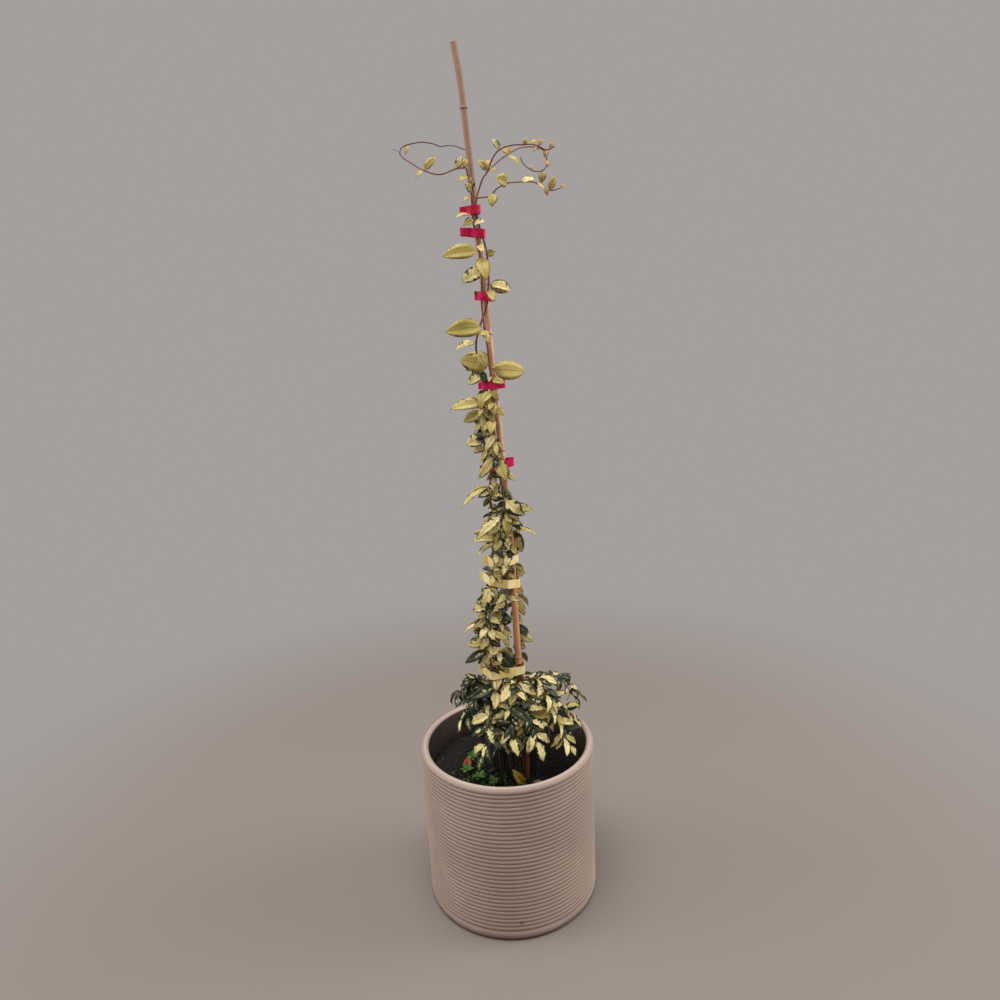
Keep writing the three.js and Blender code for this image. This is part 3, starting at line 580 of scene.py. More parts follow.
# The stems
# Four twining stems rise from the soil and wind up the cane, and four thin runners reach out at
# the top. Young wood, red-brown and wiry, a little thicker where each pair of leaves sits.
routes.update({
    "a": [
        (9, -20, 190), (9, -20, 236), (3, -30, 326), (-8, -38, 423), (-3, -40, 490), (8, -40, 539),
        (12, -40, 580), (15, -38, 620), (15, -36, 668), (10, -34, 715), (4, -32, 773), (2, -30, 804),
        (1, -28, 843), (1, -28, 887), (-2, -26, 930), (-6, -25, 966), (-7, -23, 994), (-5, -20, 1029),
        (-8, -18, 1070), (-13, -17, 1098), (-14, -16, 1124), (-14, -16, 1144), (-18, -14, 1164),
        (-20, -14, 1174),
    ],
    "left_runner": [
        (-20, -14, 1174), (-34, -25, 1171), (-56, -35, 1163), (-78, -30, 1170), (-94, -20, 1181),
        (-107, -10, 1191), (-112, 0, 1201), (-106, 8, 1210), (-84, 18, 1216), (-67, 20, 1214),
        (-56, 20, 1210), (-44, 18, 1210), (-34, 14, 1208), (-19, 8, 1201), (-11, 6, 1197),
    ],
    "b": [
        (-6, -10, 190), (-6, -10, 230), (-10, -25, 324), (-16, -35, 422), (-6, -25, 500), (-6, -22, 567),
        (-8, -22, 625), (-8, -25, 679), (-8, -28, 719), (0, -28, 757), (-13, -25, 783), (-16, -25, 815),
        (-12, -24, 851), (-9, -24, 880), (-17, -24, 912), (-18, -22, 935), (-11, -18, 959),
        (-1, -21, 983), (2, -21, 1000), (5, -14, 1029), (3, -14, 1064), (-4, -16, 1091), (-9, -15, 1120),
        (-6, -18, 1137),
    ],
    "upper_runner": [
        (-6, -18, 1137), (2, -22, 1156), (9, -25, 1165), (18, -30, 1182), (28, -32, 1192),
        (45, -35, 1196), (60, -30, 1197), (73, -25, 1198), (84, -20, 1195), (94, -15, 1192),
        (106, -12, 1197),
    ],
    "middle_runner": [
        (9, -25, 1165), (24, -15, 1179), (38, -8, 1189), (57, 0, 1199), (79, 8, 1201), (91, 12, 1197),
        (96, 14, 1184), (94, 12, 1175), (87, 8, 1169), (75, 4, 1169), (62, 0, 1177), (57, -4, 1187),
    ],
    "lower_runner": [
        (-6, -18, 1133), (3, -22, 1133), (13, -26, 1134), (21, -28, 1142), (33, -28, 1148),
        (43, -26, 1150), (64, -20, 1151), (77, -14, 1150), (91, -10, 1142), (100, -8, 1140),
        (113, -6, 1143),
    ],
    "c": [
        (-1, -35, 190), (-1, -35, 240), (-10, -40, 347), (-17, -45, 406), (-22, -48, 460),
        (-23, -45, 510), (-16, -42, 555), (-8, -40, 598), (2, -38, 637), (7, -40, 677),
    ],
    "d": [
        (23, -5, 190), (23, -5, 225), (20, -4, 325), (23, -4, 391), (26, -6, 456), (25, -6, 519),
        (24, -4, 570), (23, -3, 612), (22, -8, 661), (19, -9, 698),
    ],
})
sample_step, stem_room = 2.4, 2.5
taken = {"place": np.zeros((0, 3)), "room": np.zeros(0), "owner": np.zeros(0, dtype=int)}
owners = []


def number_of(owner):
    if owner not in owners:
        owners.append(owner)
    return owners.index(owner)


def claim(places, room, owner):
    """Notes that these places are filled, each with the room it needs round it."""
    places = np.atleast_2d(places)
    taken["place"] = np.vstack([taken["place"], places])
    taken["room"] = np.append(taken["room"], np.full(len(places), room))
    taken["owner"] = np.append(taken["owner"], np.full(len(places), number_of(owner)))


class Shoot:
    """A stem or runner with its route, its thickness and the leaves that it bears."""

    def __init__(self, owner, route, start_radius, end_radius):
        self.owner = owner
        self.places, self.first_of = line_through(route, sample_step)
        self.start_radius, self.end_radius = start_radius, end_radius
        self.spans = len(route) - 1
        self.leaves = []
        self.buds = []
        claim(self.places, start_radius + stem_room, owner)

    def along(self, at):
        """How many places along its line a leaf's foot lies."""
        span = min(self.spans - 1, int(at))
        return self.first_of[span] + (at - span) * (self.first_of[span + 1] - self.first_of[span])

    def point_at(self, at):
        along = self.along(at)
        low = min(len(self.places) - 2, int(along))
        return self.places[low] + (along - low) * (self.places[low + 1] - self.places[low])


stems = {}
for name, owner, start_radius, end_radius in (
    ("a", "vine_a", 2.4, 1.3), ("left_runner", "vine_a", 1.3, 0.8), ("b", "vine_b", 2.4, 1.5),
    ("upper_runner", "vine_b", 1.4, 0.8), ("middle_runner", "vine_b", 1.1, 0.8),
    ("lower_runner", "vine_b", 1.2, 0.8), ("c", "vine_c", 2.1, 1.2), ("d", "vine_d", 2.1, 1.2),
):
    stems[name] = Shoot(owner, routes[name], start_radius, end_radius)


def level(turn):
    """The level direction at `turn` degrees, counted from +X towards +Y."""
    return np.array([math.cos(math.radians(turn)), math.sin(math.radians(turn)), 0])


# Thirteen shorter shoots rise from the crown and arch out over the soil.
# Rows: foot x and y, heading, reach, crest, tip height.
spray_rows = [
    (41, -14, 0, 70, 352, 312), (45, -31, -28, 58, 356, 288), (26, -44, -62, 42, 360, 314),
    (10, -47, -95, 30, 366, 322), (-10, -49, -130, 42, 358, 296), (-17, -32, 195, 54, 378, 340),
    (-22, -14, 165, 56, 388, 362), (-12, 6, 125, 74, 366, 318), (7, 6, 92, 88, 374, 308),
    (24, 14, 62, 84, 360, 318), (41, 3, 28, 88, 378, 324), (16, -34, -85, 24, 398, 368),
    (38, -22, -35, 40, 398, 368),
]
sprays = []
for order, (x, y, heading, reach, crest, tip) in enumerate(spray_rows, 1):
    out = level(heading)
    rise = ((0, 204), (0, 232), (0.05, 290), (0.18, crest - 16), (0.42, crest),
            (0.72, (crest * 2 + tip) / 3), (1, tip))
    route = [np.array([x, y, 0]) + out * reach * share + (0, 0, height) for share, height in rise]
    spray = Shoot(f"shoot_{order:02d}", route, 1.5, 0.9)
    spray.heading, spray.out = heading, out
    sprays.append(spray)
cane_line, stake_line = (line_through(routes[name], sample_step)[0] for name in ("cane", "stake"))
claim(cane_line, cane_foot + stem_room, "cane")
claim(stake_line, stake_foot + stem_room, "stake")

# The ties
# Eight loops of thin plastic tape from a tying gun, five magenta above and three pale yellow below.
# Each goes once round what it holds, and its two ends are pressed together in a flat tab.
tape_thickness, tape_clearance = 0.4, 0.3
leaf_room = 4.3
bundle = {
    "cane": (cane_line, cane_foot), "stake": (stake_line, stake_foot),
    **{name: (stems[name].places, stems[name].start_radius) for name in "abcd"},
}
upper_bundle, whole_bundle = ("cane", "a", "b"), ("cane", "stake", "a", "b", "c", "d")
# Rows: left, right, height, tape width, slope, dip, tab, finish, what it holds
tie_rows = [
    (-24, -1.5, 1118, 12, -4, 0, 8, "red", upper_bundle),
    (-27, 4, 1087, 12, 6, 0, 6, "red", upper_bundle),
    (-13, 12, 999, 13, 6, 0, 4, "red", upper_bundle),
    (-14, 22, 873, 13, 0, 0, 4, "red", upper_bundle),
    (-14, 30, 752, 13, -12, 0, 8, "red", upper_bundle),
    (-17, 31, 602, 13, 0, 0, 8, "yellow", whole_bundle),
    (-25, 32, 568, 14, 14, 0, 6, "yellow", whole_bundle),
    (-33, 34, 416, 14, 2, 1, 8, "yellow", ("stake", "a", "b", "c", "d")),
]


def place_at_height(places, height):
    return np.array([np.interp(height, places[:, 2], places[:, axis]) for axis in range(2)])


def hull_of(spots):
    """The outline that a taut tape takes round a set of points, going round to the left."""
    spots = sorted(map(tuple, spots))
    halves = []
    for ordered in (spots, spots[::-1]):
        half = []
        for spot in ordered:
            while len(half) > 1:
                run, bend = np.subtract(half[-1], half[-2]), np.subtract(spot, half[-1])
                if run[0] * bend[1] - run[1] * bend[0] > 0:
                    break
                half.pop()
            half.append(spot)
        halves += half[:-1]
    return np.array(halves)


def sag_at(row, across):
    """How far a tape hangs below its height, `across` to the right of its middle."""
    left, right, _, _, slope, dip = row[:6]
    half = (right - left) / 2
    return dip * (1 - (across / half) ** 2) + across * math.tan(math.radians(slope))


def tape_path(row):
    """The tape's run round what it holds: out of the tab, round the back and home by the front."""
    left, right, height, tape, _, dip, tab, _, holds = row
    spots = []
    for name in holds:
        places, radius = bundle[name]
        across = place_at_height(places, height)[0] - (left + right) / 2
        out = radius + tape_clearance + tape_thickness / 2 + dip
        for edge in (-0.5, 0, 0.5):
            centre = place_at_height(places, height - sag_at(row, across) + edge * tape)
            spots += [centre + out * level(turn)[:2] for turn in range(0, 360, 20)]
    depth = np.mean([spot[1] for spot in spots])
    fold_radius, fold_inset = 2, 2.2
    spots += [(right - fold_inset, depth) + fold_radius * level(turn)[:2] for turn in range(0, 360, 30)]
    spots.append((left, depth))
    hull = hull_of(spots)
    start = int(np.argmin(hull[:, 0]))
    hull = np.roll(hull, -start, axis=0)[::-1]
    home = np.array([left, depth])
    tail = home - (tab, 0)
    press = np.array([0, tape_thickness * 0.62])
    run = np.array([tail + press, home + press, *hull[1:-1], home - press, tail - press])
    gone = np.append(0, np.cumsum(np.linalg.norm(np.diff(run, axis=0), axis=1)))
    tape_step = 1.6
    even = np.linspace(0, gone[-1], int(gone[-1] / tape_step) + 2)
    return np.stack([np.interp(even, gone, run[:, axis]) for axis in range(2)], axis=1)


def tape_loop(name, row, seed):
    """A band of tape, modelled flat as a strip and laid along its run."""
    left, right, height, tape = row[:4]
    run, middle = tape_path(row), (left + right) / 2
    deselect()
    bpy.ops.mesh.primitive_grid_add(x_subdivisions=len(run) - 1, y_subdivisions=4, size=2)
    band = named(name)
    for vertex in band.data.vertices:
        x, y = run[round((vertex.co.x + 1) / 2 * (len(run) - 1))]
        ripple = 0.4 * noise.noise(Vector((x / 14, y / 14, seed)))
        edge = vertex.co.y * tape / 2
        cup = 0.2 * noise.noise(Vector((x / 9, edge / 7, seed + 3)))
        vertex.co = Vector((x, y + cup, height - sag_at(row, x - middle) + edge + ripple)) / 1000
    thick = band.modifiers.new("thickness", "SOLIDIFY")
    thick.thickness = tape_thickness / 1000
    thick.offset = 0
    bpy.ops.object.modifier_apply(modifier="thickness")
    sew()
    bpy.ops.object.shade_smooth_by_angle(angle=math.radians(40))
    for x, y in run:
        for edge in np.arange(-tape / 2, tape / 2 + 0.1, 3):
            claim((x, y, height - sag_at(row, x - middle) + edge), leaf_room, "tie")
    return band


def tape_finish(name, bright, deep, crease):
    made = new_finish(name, bright, 0.4, 0.3)
    place = object_place(made)
    fine = grain(made, place, 420, 3, 0.6)
    colour = layered(made, bright, (stepped(made, grain(made, place, 62, 2), 0.46, 0.56), 1, deep),
                     (stepped(made, fine, 0.6, 0.78), 0.6, crease))
    dress(made, colour, fine, 0.00025)
    return made


tape = {
    "red": tape_finish("magenta_tape", (228, 22, 100), (182, 6, 46), (240, 84, 146)),
    "yellow": tape_finish("yellow_tape", (255, 240, 180), (253, 222, 136), (255, 248, 216)),
}
for order, row in enumerate(tie_rows, 1):
    band = tape_loop(f"tape_{order}", row, order * 7)
    settle(band, tape[row[7]], f"{row[7]}_tape", f"tie_{order}")

# The leaves
# Leathery oval leaves with a short stalk and a drawn-out tip, in pairs along every stem. They are
# cream or olive inside and dark green at the margin, and no two are marked alike.
leaf_rows = (-0.03, 0.1, 0.16, 0.24, 0.36, 0.5, 0.65, 0.8, 0.92, 1)
leaf_halves = (0, 0, 0.46, 0.8, 0.98, 1, 0.93, 0.7, 0.35, 0)
leaf_lanes = (-1, -0.5, 0, 0.5, 1)
last_row, last_lane = len(leaf_rows) - 1, len(leaf_lanes) - 1
deselect()
bpy.ops.mesh.primitive_grid_add(x_subdivisions=last_row, y_subdivisions=last_lane, size=2)
leaf_shape = named("leaf_shape")
while leaf_shape.data.uv_layers:
    leaf_shape.data.uv_layers.remove(leaf_shape.data.uv_layers[0])
for vertex in leaf_shape.data.vertices:
    row, lane = round((vertex.co.x + 1) * last_row / 2), round((vertex.co.y + 1) * last_lane / 2)
    on_rim = row in (0, last_row) or lane in (0, last_lane)
    thickness = 1 if leaf_lanes[lane] == 0 else 0.8
    vertex.co = (leaf_rows[row], leaf_lanes[lane], 0 if on_rim else thickness)
# The underside is the same blade turned over and sewn to the first along its rim.
bpy.ops.object.mode_set(mode="EDIT")
bpy.ops.mesh.select_all(action="SELECT")
bpy.ops.mesh.duplicate()
bpy.ops.mesh.flip_normals()
bpy.ops.transform.resize(value=(1, 1, -1), center_override=(0, 0, 0))
bpy.ops.object.mode_set(mode="OBJECT")
under = leaf_shape.data.attributes.new("under", "FLOAT", "FACE")
for face in leaf_shape.data.polygons:
    under.data[face.index].value = 1.0 if face.select else 0.0
for vertex in leaf_shape.data.vertices:
    if vertex.co.x > 0.999:
        vertex.co.y = 0
sew(0.0001, outward=False)
bpy.ops.object.shade_smooth()
leaf_points = points_of(leaf_shape.data)
leaf_share, leaf_lane, leaf_through = leaf_points.T
leaf_half = np.interp(leaf_share, leaf_rows, leaf_halves)
chart = leaf_shape.data.uv_layers.new(name="leaf")
for corner in leaf_shape.data.loops:
    chart.data[corner.index].uv = (leaf_lane[corner.vertex_index] / 2 + 0.5, leaf_share[corner.vertex_index])

# Seeded draws, in the order in which the leaves are set
draws = {"seed": 7}


def draw(low, high):
    draws["seed"] = (draws["seed"] * 1103515245 + 12345) & 0x7FFFFFFF
    return low + (high - low) * draws["seed"] / 0x7FFFFFFF


looks = random.Random(21)
vary = looks.uniform
to_front, to_back = np.array([0, -1.0, 0]), np.array([0, 1.0, 0])
leaf_arch = 0.09


def unit(vector):
    return vector / np.linalg.norm(vector)


class Leaf:
    """One leaf: where its foot is, which way it points and faces, and how large it is."""

    def __init__(self, base, turn, rise, length, width, face, out):
        turn, rise, face = map(math.radians, (turn, rise, face))
        self.base, self.length, self.width = np.array(base, dtype=float), length, width
        self.inner = False
        self.forward = np.array([math.cos(turn) * math.cos(rise), math.sin(turn) * math.cos(rise),
                                 math.sin(rise)])
        lean = np.array([0, 0, math.cos(face)]) + np.array(out) * math.sin(face)
        self.normal = unit(lean - self.forward * lean.dot(self.forward))
        self.side = np.cross(self.normal, self.forward)

    def middle(self, share):
        share = np.asarray(share)[..., None]
        bow = 4 * leaf_arch * self.length * share * (1 - share)
        return self.base + self.forward * self.length * share + self.normal * bow

    def skin(self):
        """Points over the blade, close enough to tell whether anything crosses it."""
        rows = math.ceil(self.length / sample_step)
        lanes = 2 * math.ceil(self.width / (2 * sample_step))
        share = np.repeat(np.arange(1, rows + 1) / rows, lanes + 1)
        lane = np.tile(np.linspace(-1, 1, lanes + 1), rows)
        half = np.interp(share, (0, 0.13, 0.38, 0.72, 1), (0, 0.8, self.width / 2, 0.375 * self.width, 0))
        return self.middle(share) + self.side * (lane * half)[:, None]

    def blade(self, fold, droop, wave, sway, twist):
        """Where the modelled leaf's points go: folded on its midrib, waved, bent and twisted."""
        share = np.clip(leaf_share, 0, 1)
        stalk = 0.75 * np.clip(1 - share, 0, 1) ** 2
        sideways = leaf_lane * (leaf_half * self.width / 2 + stalk)
        lift = fold * leaf_half * self.width / 2 * np.abs(leaf_lane) ** 1.2
        phase = 1.3 * leaf_lane + wave[1]
        lift = lift + wave[0] * leaf_half * leaf_lane ** 2 * np.sin(phase + wave[2] * share)
        lift = lift + leaf_through * (0.16 + 0.5 * np.exp(-share / 0.07))
        angle = twist * share
        across = sideways * np.cos(angle) - lift * np.sin(angle)
        lift = sideways * np.sin(angle) + lift * np.cos(angle)
        across = across + sway * self.length * share ** 2
        lift = lift - droop * self.length * np.clip(share - 0.5, 0, 1) ** 2
        return self.middle(leaf_share) + self.side * across[:, None] + self.normal * lift[:, None]


def is_free(leaf, owner, ease):
    """Whether a leaf keeps clear of the soil, the pot and all that is set. Near its foot it may
    touch its own stem, and with `ease` below 1 it may come closer to the rest."""
    own_room, over_soil, off_rim = 7, 6, 4
    skin = leaf.skin()
    out = np.hypot(skin[:, 0], skin[:, 1])
    at_wall = (skin[:, 2] < pot_height + off_rim) & (out > inner_radius - off_rim)
    if (skin[:, 2] < soil_top + over_soil).any() or at_wall.any():
        return False
    reach = ((skin - leaf.base) ** 2).sum(axis=1) < own_room ** 2
    middle = skin[len(skin) // 2]
    skin = skin - middle
    across = math.sqrt((skin ** 2).sum(axis=1).max()) + taken["room"].max()
    near = np.abs(taken["place"] - middle).max(axis=1) < across
    places, rooms = taken["place"][near] - middle, taken["room"][near] * ease
    own = taken["owner"][near] == number_of(owner)
    apart = (places ** 2).sum(axis=1)[:, None] + (skin ** 2).sum(axis=1) - 2 * places @ skin.T
    crossed = (apart <= (rooms ** 2)[:, None]) & ~(own[:, None] & reach[None])
    return not crossed.any()


# Rows: swing, lift, share of its size
shifts = [
    (0, 0, 1), (18, 0, 1), (-18, 0, 1), (0, 18, 1), (0, -18, 1), (20, 15, 0.85), (-20, -15, 0.85),
    (35, 0, 0.8), (-35, 0, 0.8), (0, 32, 0.75), (0, -32, 0.75),
]


def set_leaf(stem, at, turn, rise, length, width, face, out, ease=1.0, ahead=0):
    """Sets one leaf, swung or lifted a little where its place is taken. One with no room is left off."""
    base = stem.point_at(at) + to_front * ahead
    for swing, lift, share in shifts:
        leaf = Leaf(base, turn + swing, rise + lift, length * share, width * share, face, out)
        if is_free(leaf, stem.owner, ease):
            claim(leaf.skin(), leaf_room, stem.owner)
            stem.leaves.append(leaf)
            stem.buds.append(stem.along(at))
            return True
    return False


# The leaves that face the front. Rows: place along the stem, turn, rise, length, width, face.
front_leaves = {
    "a": [
        (2.3, 250, -45, 30, 14, 75), (2.6, 300, -50, 30, 14, 75), (2.85, 215, -40, 32, 14, 70),
        (3.2, 320, -45, 28, 13, 75), (3.4, 325, -40, 34, 21, 85), (3.6, 215, -40, 36, 14, 70),
        (4.1, 315, -60, 37, 10, 70), (5, 210, -25, 29, 13, 70), (6.9, 235, -60, 29, 14, 80),
        (7.4, 250, -55, 20, 12, 80), (8.2, 255, -70, 34, 18, 85), (8.7, 330, -35, 41, 23, 80),
        (9.5, 350, -10, 29, 11, 60), (9.8, 325, -55, 38, 20, 85), (9.9, 195, -50, 45, 15, 70),
        (10.5, 280, -60, 27, 9, 80), (10.9, 235, -65, 33, 10, 80), (11.5, 255, -60, 29, 12, 80),
        (11.9, 335, -30, 21, 12, 70), (12.1, 285, -50, 22, 12, 80), (13.2, 335, 50, 30, 10, 30),
        (13.2, 355, -10, 55, 28, 80), (13.3, 175, 15, 45, 26, 85), (14.6, 285, -55, 23, 12, 70),
        (14.7, 190, -5, 57, 26, 75), (17.2, 200, -50, 34, 20, 85), (17.6, 290, -75, 40, 20, 85),
        (17.8, 190, -5, 53, 21, 80), (18, 295, -30, 22, 12, 60), (19, 315, 5, 22, 10, 60),
        (19.3, 230, -60, 32, 13, 85), (19.4, 190, 0, 28, 13, 30), (20.6, 215, -25, 17, 7, 30),
        (20.8, 220, 30, 22, 11, 70), (21.1, 275, 60, 15, 11, 80), (21.9, 220, -25, 18, 11, 50),
    ],
    "left_runner": [
        (0.3, 20, 60, 14, 8, 80), (0.9, 345, 65, 17, 10, 85), (3, 200, -40, 16, 6, 60),
        (3, 350, 40, 24, 10, 80), (5.7, 195, 20, 19, 5, 10), (7.3, 205, -50, 15, 5, 80),
    ],
    "b": [
        (2.3, 200, -40, 34, 15, 70), (2.7, 190, -30, 30, 13, 70), (3.4, 190, -35, 30, 14, 75),
        (4.3, 200, -40, 30, 14, 75), (8, 190, -30, 55, 11, 15), (8, 215, -55, 19, 11, 80),
        (8.4, 320, -45, 23, 14, 80), (10.4, 205, -20, 28, 20, 75), (11.5, 190, -25, 32, 16, 70),
        (11.5, 290, -75, 37, 10, 60), (11.9, 190, -10, 49, 19, 65), (13.3, 200, -50, 28, 13, 80),
        (13.3, 215, 60, 28, 9, 60), (15, 185, -15, 33, 13, 50), (15.5, 315, 0, 23, 12, 60),
        (18.3, 335, -35, 27, 12, 60), (18.6, 345, -20, 35, 17, 60), (19.8, 340, 45, 18, 14, 80),
    ],
    "upper_runner": [
        (2.1, 210, 65, 19, 10, 80), (2.1, 225, 45, 12, 7, 50), (2.2, 335, -10, 14, 7, 40),
        (2.4, 115, 80, 12, 8, 80), (4, 200, 50, 16, 8, 80), (4.4, 325, -60, 13, 11, 85),
        (6.1, 325, 65, 9, 6, 80), (6.6, 340, 15, 13, 7, 50), (7.7, 345, 40, 13, 6, 70),
        (8.1, 200, -20, 12, 6, 60), (9, 220, -65, 11, 7, 80), (9.3, 345, 55, 12, 5, 60),
    ],
    "middle_runner": [
        (2, 345, -40, 24, 8, 30), (6, 270, -70, 12, 7, 80), (7.8, 195, -65, 17, 11, 85),
        (9, 195, 40, 10, 5, 60),
    ],
    "lower_runner": [
        (2.5, 250, -70, 20, 14, 85), (4.5, 205, 15, 19, 18, 85), (5.6, 350, 10, 20, 10, 60),
        (7.1, 345, -40, 17, 7, 40), (7.9, 335, -65, 11, 5, 60), (8.5, 345, 60, 20, 10, 80),
        (9.1, 200, 40, 11, 5, 60), (9.9, 350, 25, 11, 5, 60),
    ],
    "c": [
        (2.2, 210, -45, 32, 14, 75), (2.5, 320, -50, 30, 14, 75), (2.65, 265, -55, 32, 15, 80),
        (2.8, 205, -35, 44, 18, 60), (3.9, 205, -50, 28, 14, 75), (4, 195, -20, 43, 14, 50),
        (4.3, 200, -5, 33, 14, 70), (4.6, 335, -15, 33, 11, 50), (4.9, 190, -15, 41, 10, 10),
        (5.1, 215, -45, 29, 17, 80), (5.1, 330, -15, 24, 11, 60), (5.6, 210, -20, 28, 17, 75),
        (6.2, 210, -50, 36, 22, 85), (6.2, 330, -35, 33, 19, 85), (7.5, 265, -70, 29, 14, 80),
        (7.9, 190, -25, 40, 12, 20), (8.1, 195, 0, 41, 14, 60), (8.1, 215, -55, 23, 14, 80),
        (8.8, 205, -35, 32, 20, 80), (9, 195, -35, 53, 15, 60),
    ],
    "d": [
        (2.5, 340, -30, 34, 15, 70), (2.9, 320, -45, 30, 14, 70), (3.4, 335, -35, 30, 13, 70),
        (4.2, 340, -30, 28, 13, 70), (5.3, 335, -70, 40, 13, 75), (6.1, 340, -30, 22, 19, 80),
        (6.8, 340, -25, 25, 14, 70), (7.6, 325, -60, 38, 22, 80), (7.6, 345, -20, 40, 11, 20),
        (8.6, 345, -15, 38, 14, 60),
    ],
}
crowded = []
for name, rows in front_leaves.items():
    for row in rows:
        if not set_leaf(stems[name], *row, to_front):
            crowded.append((name, row))

# The leaves come in pairs, and the second of each pair of long ones turns to the back.
paired_length = 27
for name in "abcd":
    for at, turn, rise, length, width, _ in front_leaves[name]:
        if length >= paired_length:
            back = (-turn - 180 + draw(130, 230), rise + draw(-15, 15), length * draw(0.75, 1))
            set_leaf(stems[name], at, *back, width, draw(55, 85), to_back)

# The sprays carry opposite pairs, smaller towards the tip, and one leaf at the end.
pairs_per_spray = 5
for spray in sprays:
    for pair in range(pairs_per_spray):
        at = 2.7 + 2.9 * pair / (pairs_per_spray - 1)
        for hand in (-1, 1):
            turn = spray.heading + hand * draw(48, 78)
            length = draw(37, 46) * (1 - 0.06 * pair)
            rise = draw(-42, -12) - 4 * pair
            set_leaf(spray, at, turn, rise, length, length * draw(0.4, 0.48), draw(35, 60), spray.out)
    turn, rise = spray.heading + draw(-15, 15), draw(-65, -40)
    set_leaf(spray, spray.spans - 0.1, turn, rise, draw(28, 36), 15, 50, spray.out)
weed_seed = draws["seed"]

# The leaves that the ties crowded out reach over them, turned a little to the front.
# Rows: how far it turns, lift, and how far its foot comes forward.
reach_over, crowded_ease = ((0, 0, 0), (0.35, 0, 2), (0.6, -10, 4), (0.8, 15, 5)), 0.4
for name, (at, turn, rise, length, width, face) in crowded:
    for share, lift, ahead in reach_over:
        toward = turn + share * (270 - turn) if turn > 90 else turn
        pose = (at, toward, rise + lift, length, width, face, to_front)
        if set_leaf(stems[name], *pose, crowded_ease, ahead):
            break

# Small leaves fill the inside of the bush and the column. They may come closer to each other, and
# most of those behind are painted dark green, as painted shade inside the foliage.
filler_ease, pairs_inside = 0.3, 18
for spray in sprays:
    for pair in range(pairs_inside):
        at = 2.1 + 3.8 * pair / (pairs_inside - 1)
        for hand in (-1, 1):
            turn = spray.heading + hand * vary(15, 130)
            length = vary(18, 36)
            rise = vary(-75, 20)
            width = length * vary(0.32, 0.42)
            out = unit(spray.out + to_front * vary(0, 1.6) + (0, 0, 0.3))
            if set_leaf(spray, at, turn, rise, length, width, vary(20, 80), out, filler_ease):
                spray.leaves[-1].inner = looks.random() < 0.42
for name, low, high, count in (
    ("a", 2.2, 13, 96), ("b", 2.2, 14, 100), ("c", 2.0, 8.9, 110), ("d", 2.0, 8.9, 90),
):
    for order in range(count):
        at = low + (high - low) * (order + vary(0, 0.8)) / count
        behind = order % 3 == 0
        turn = vary(0, 180) if behind else vary(180, 360)
        length = vary(14, 28)
        rise = vary(-70, 10)
        width = length * vary(0.36, 0.5)
        out = to_back if behind else to_front
        if set_leaf(stems[name], at, turn, rise, length, width, vary(50, 85), out, filler_ease):
            stems[name].leaves[-1].inner = looks.random() < (0.8 if behind else 0.32)


class LeafPattern:
    """What all leaf materials share: the leaf's own coordinates, its tint and its veins."""

    def __init__(self, made):
        uv = put(made, "SeparateXYZ", {"Vector": put(made, "UVMap", uv_map="leaf").outputs["UV"]}).outputs
        self.along, self.tint = uv["Y"], tint_parts(made)
        self.off_middle = reckon(made, "ABSOLUTE", reckon(made, "MULTIPLY_ADD", uv["X"], 2, -1))
        self.where = put(made, "CombineXYZ", {
            "X": uv["X"], "Y": reckon(made, "MULTIPLY", self.along, 2.2),
            "Z": reckon(made, "MULTIPLY", self.tint["Blue"], 50),
        }).outputs[0]
        self.midrib = stepped(made, self.off_middle, 0.09, 0.03)
        slant = reckon(made, "MULTIPLY", self.along, 9)
        slant = reckon(made, "FRACT", reckon(made, "MULTIPLY_ADD", self.off_middle, -1.5, slant))
        vein = reckon(made, "ABSOLUTE", reckon(made, "SUBTRACT", slant, 0.5))
        self.veins = reckon(made, "MAXIMUM", stepped(made, vein, 0.09, 0.02), self.midrib)
        self.underside = put(made, "Attribute", attribute_name="under").outputs["Fac"]


# The leaf's finish. Its tint gives olive, green, a seed and youth. Green goes from 0 to 2 and the
# others from 0 to 1.
leaf_finish = new_finish("variegated_leaf", (205, 190, 130), 0.42, 0.45)
m, own = leaf_finish, LeafPattern(leaf_finish)
youth = put(m, "Attribute", attribute_name="tint").outputs["Alpha"]
blotch = grain(m, own.where, 2.4, 3, 0.6)
ragged = grain(m, own.where, 2.6, 4, 0.62)
spots = grain(m, own.where, 14, 2, 0.6)
# The green margin: wide in some places and missing in others, wider where the leaf is greener
border = reckon(m, "ADD", own.off_middle, reckon(m, "MULTIPLY_ADD", ragged, 3.0, -1.5))
border = reckon(m, "MAXIMUM", border, reckon(m, "MULTIPLY_ADD", own.along, 2.6, -2.0))
# A green above 1 paints the whole leaf dark green, as painted shade for leaves inside the foliage.
limit = reckon(m, "MULTIPLY_ADD", own.tint["Green"], -0.9, 1.42)
past_limit = reckon(m, "SUBTRACT", border, limit)
spotted = reckon(m, "MULTIPLY", stepped(m, spots, 0.68, 0.72), stepped(m, own.tint["Green"], 0.3, 0.8))
green = reckon(m, "MAXIMUM", stepped(m, past_limit, -0.03, 0.05), spotted)
colour = layered(
    m, mixed(m, own.tint["Red"], (236, 214, 152), (184, 162, 80)),
    (stepped(m, blotch, 0.5, 0.62), 0.5, (168, 160, 82)),
    (stepped(m, past_limit, -0.22, -0.08), 0.45, (128, 136, 66)),
    (green, 1, mixed(m, blotch, (13, 26, 14), (32, 50, 24))), (own.midrib, 0.5, (128, 124, 58)),
    (own.veins, 0.14, (104, 108, 56)), (youth, 0.75, (168, 106, 58)), (own.underside, 0.3, (168, 158, 96)),
)
dress(m, colour, reckon(m, "MULTIPLY_ADD", own.veins, -1, reckon(m, "MULTIPLY", spots, 0.4)), 0.00022)

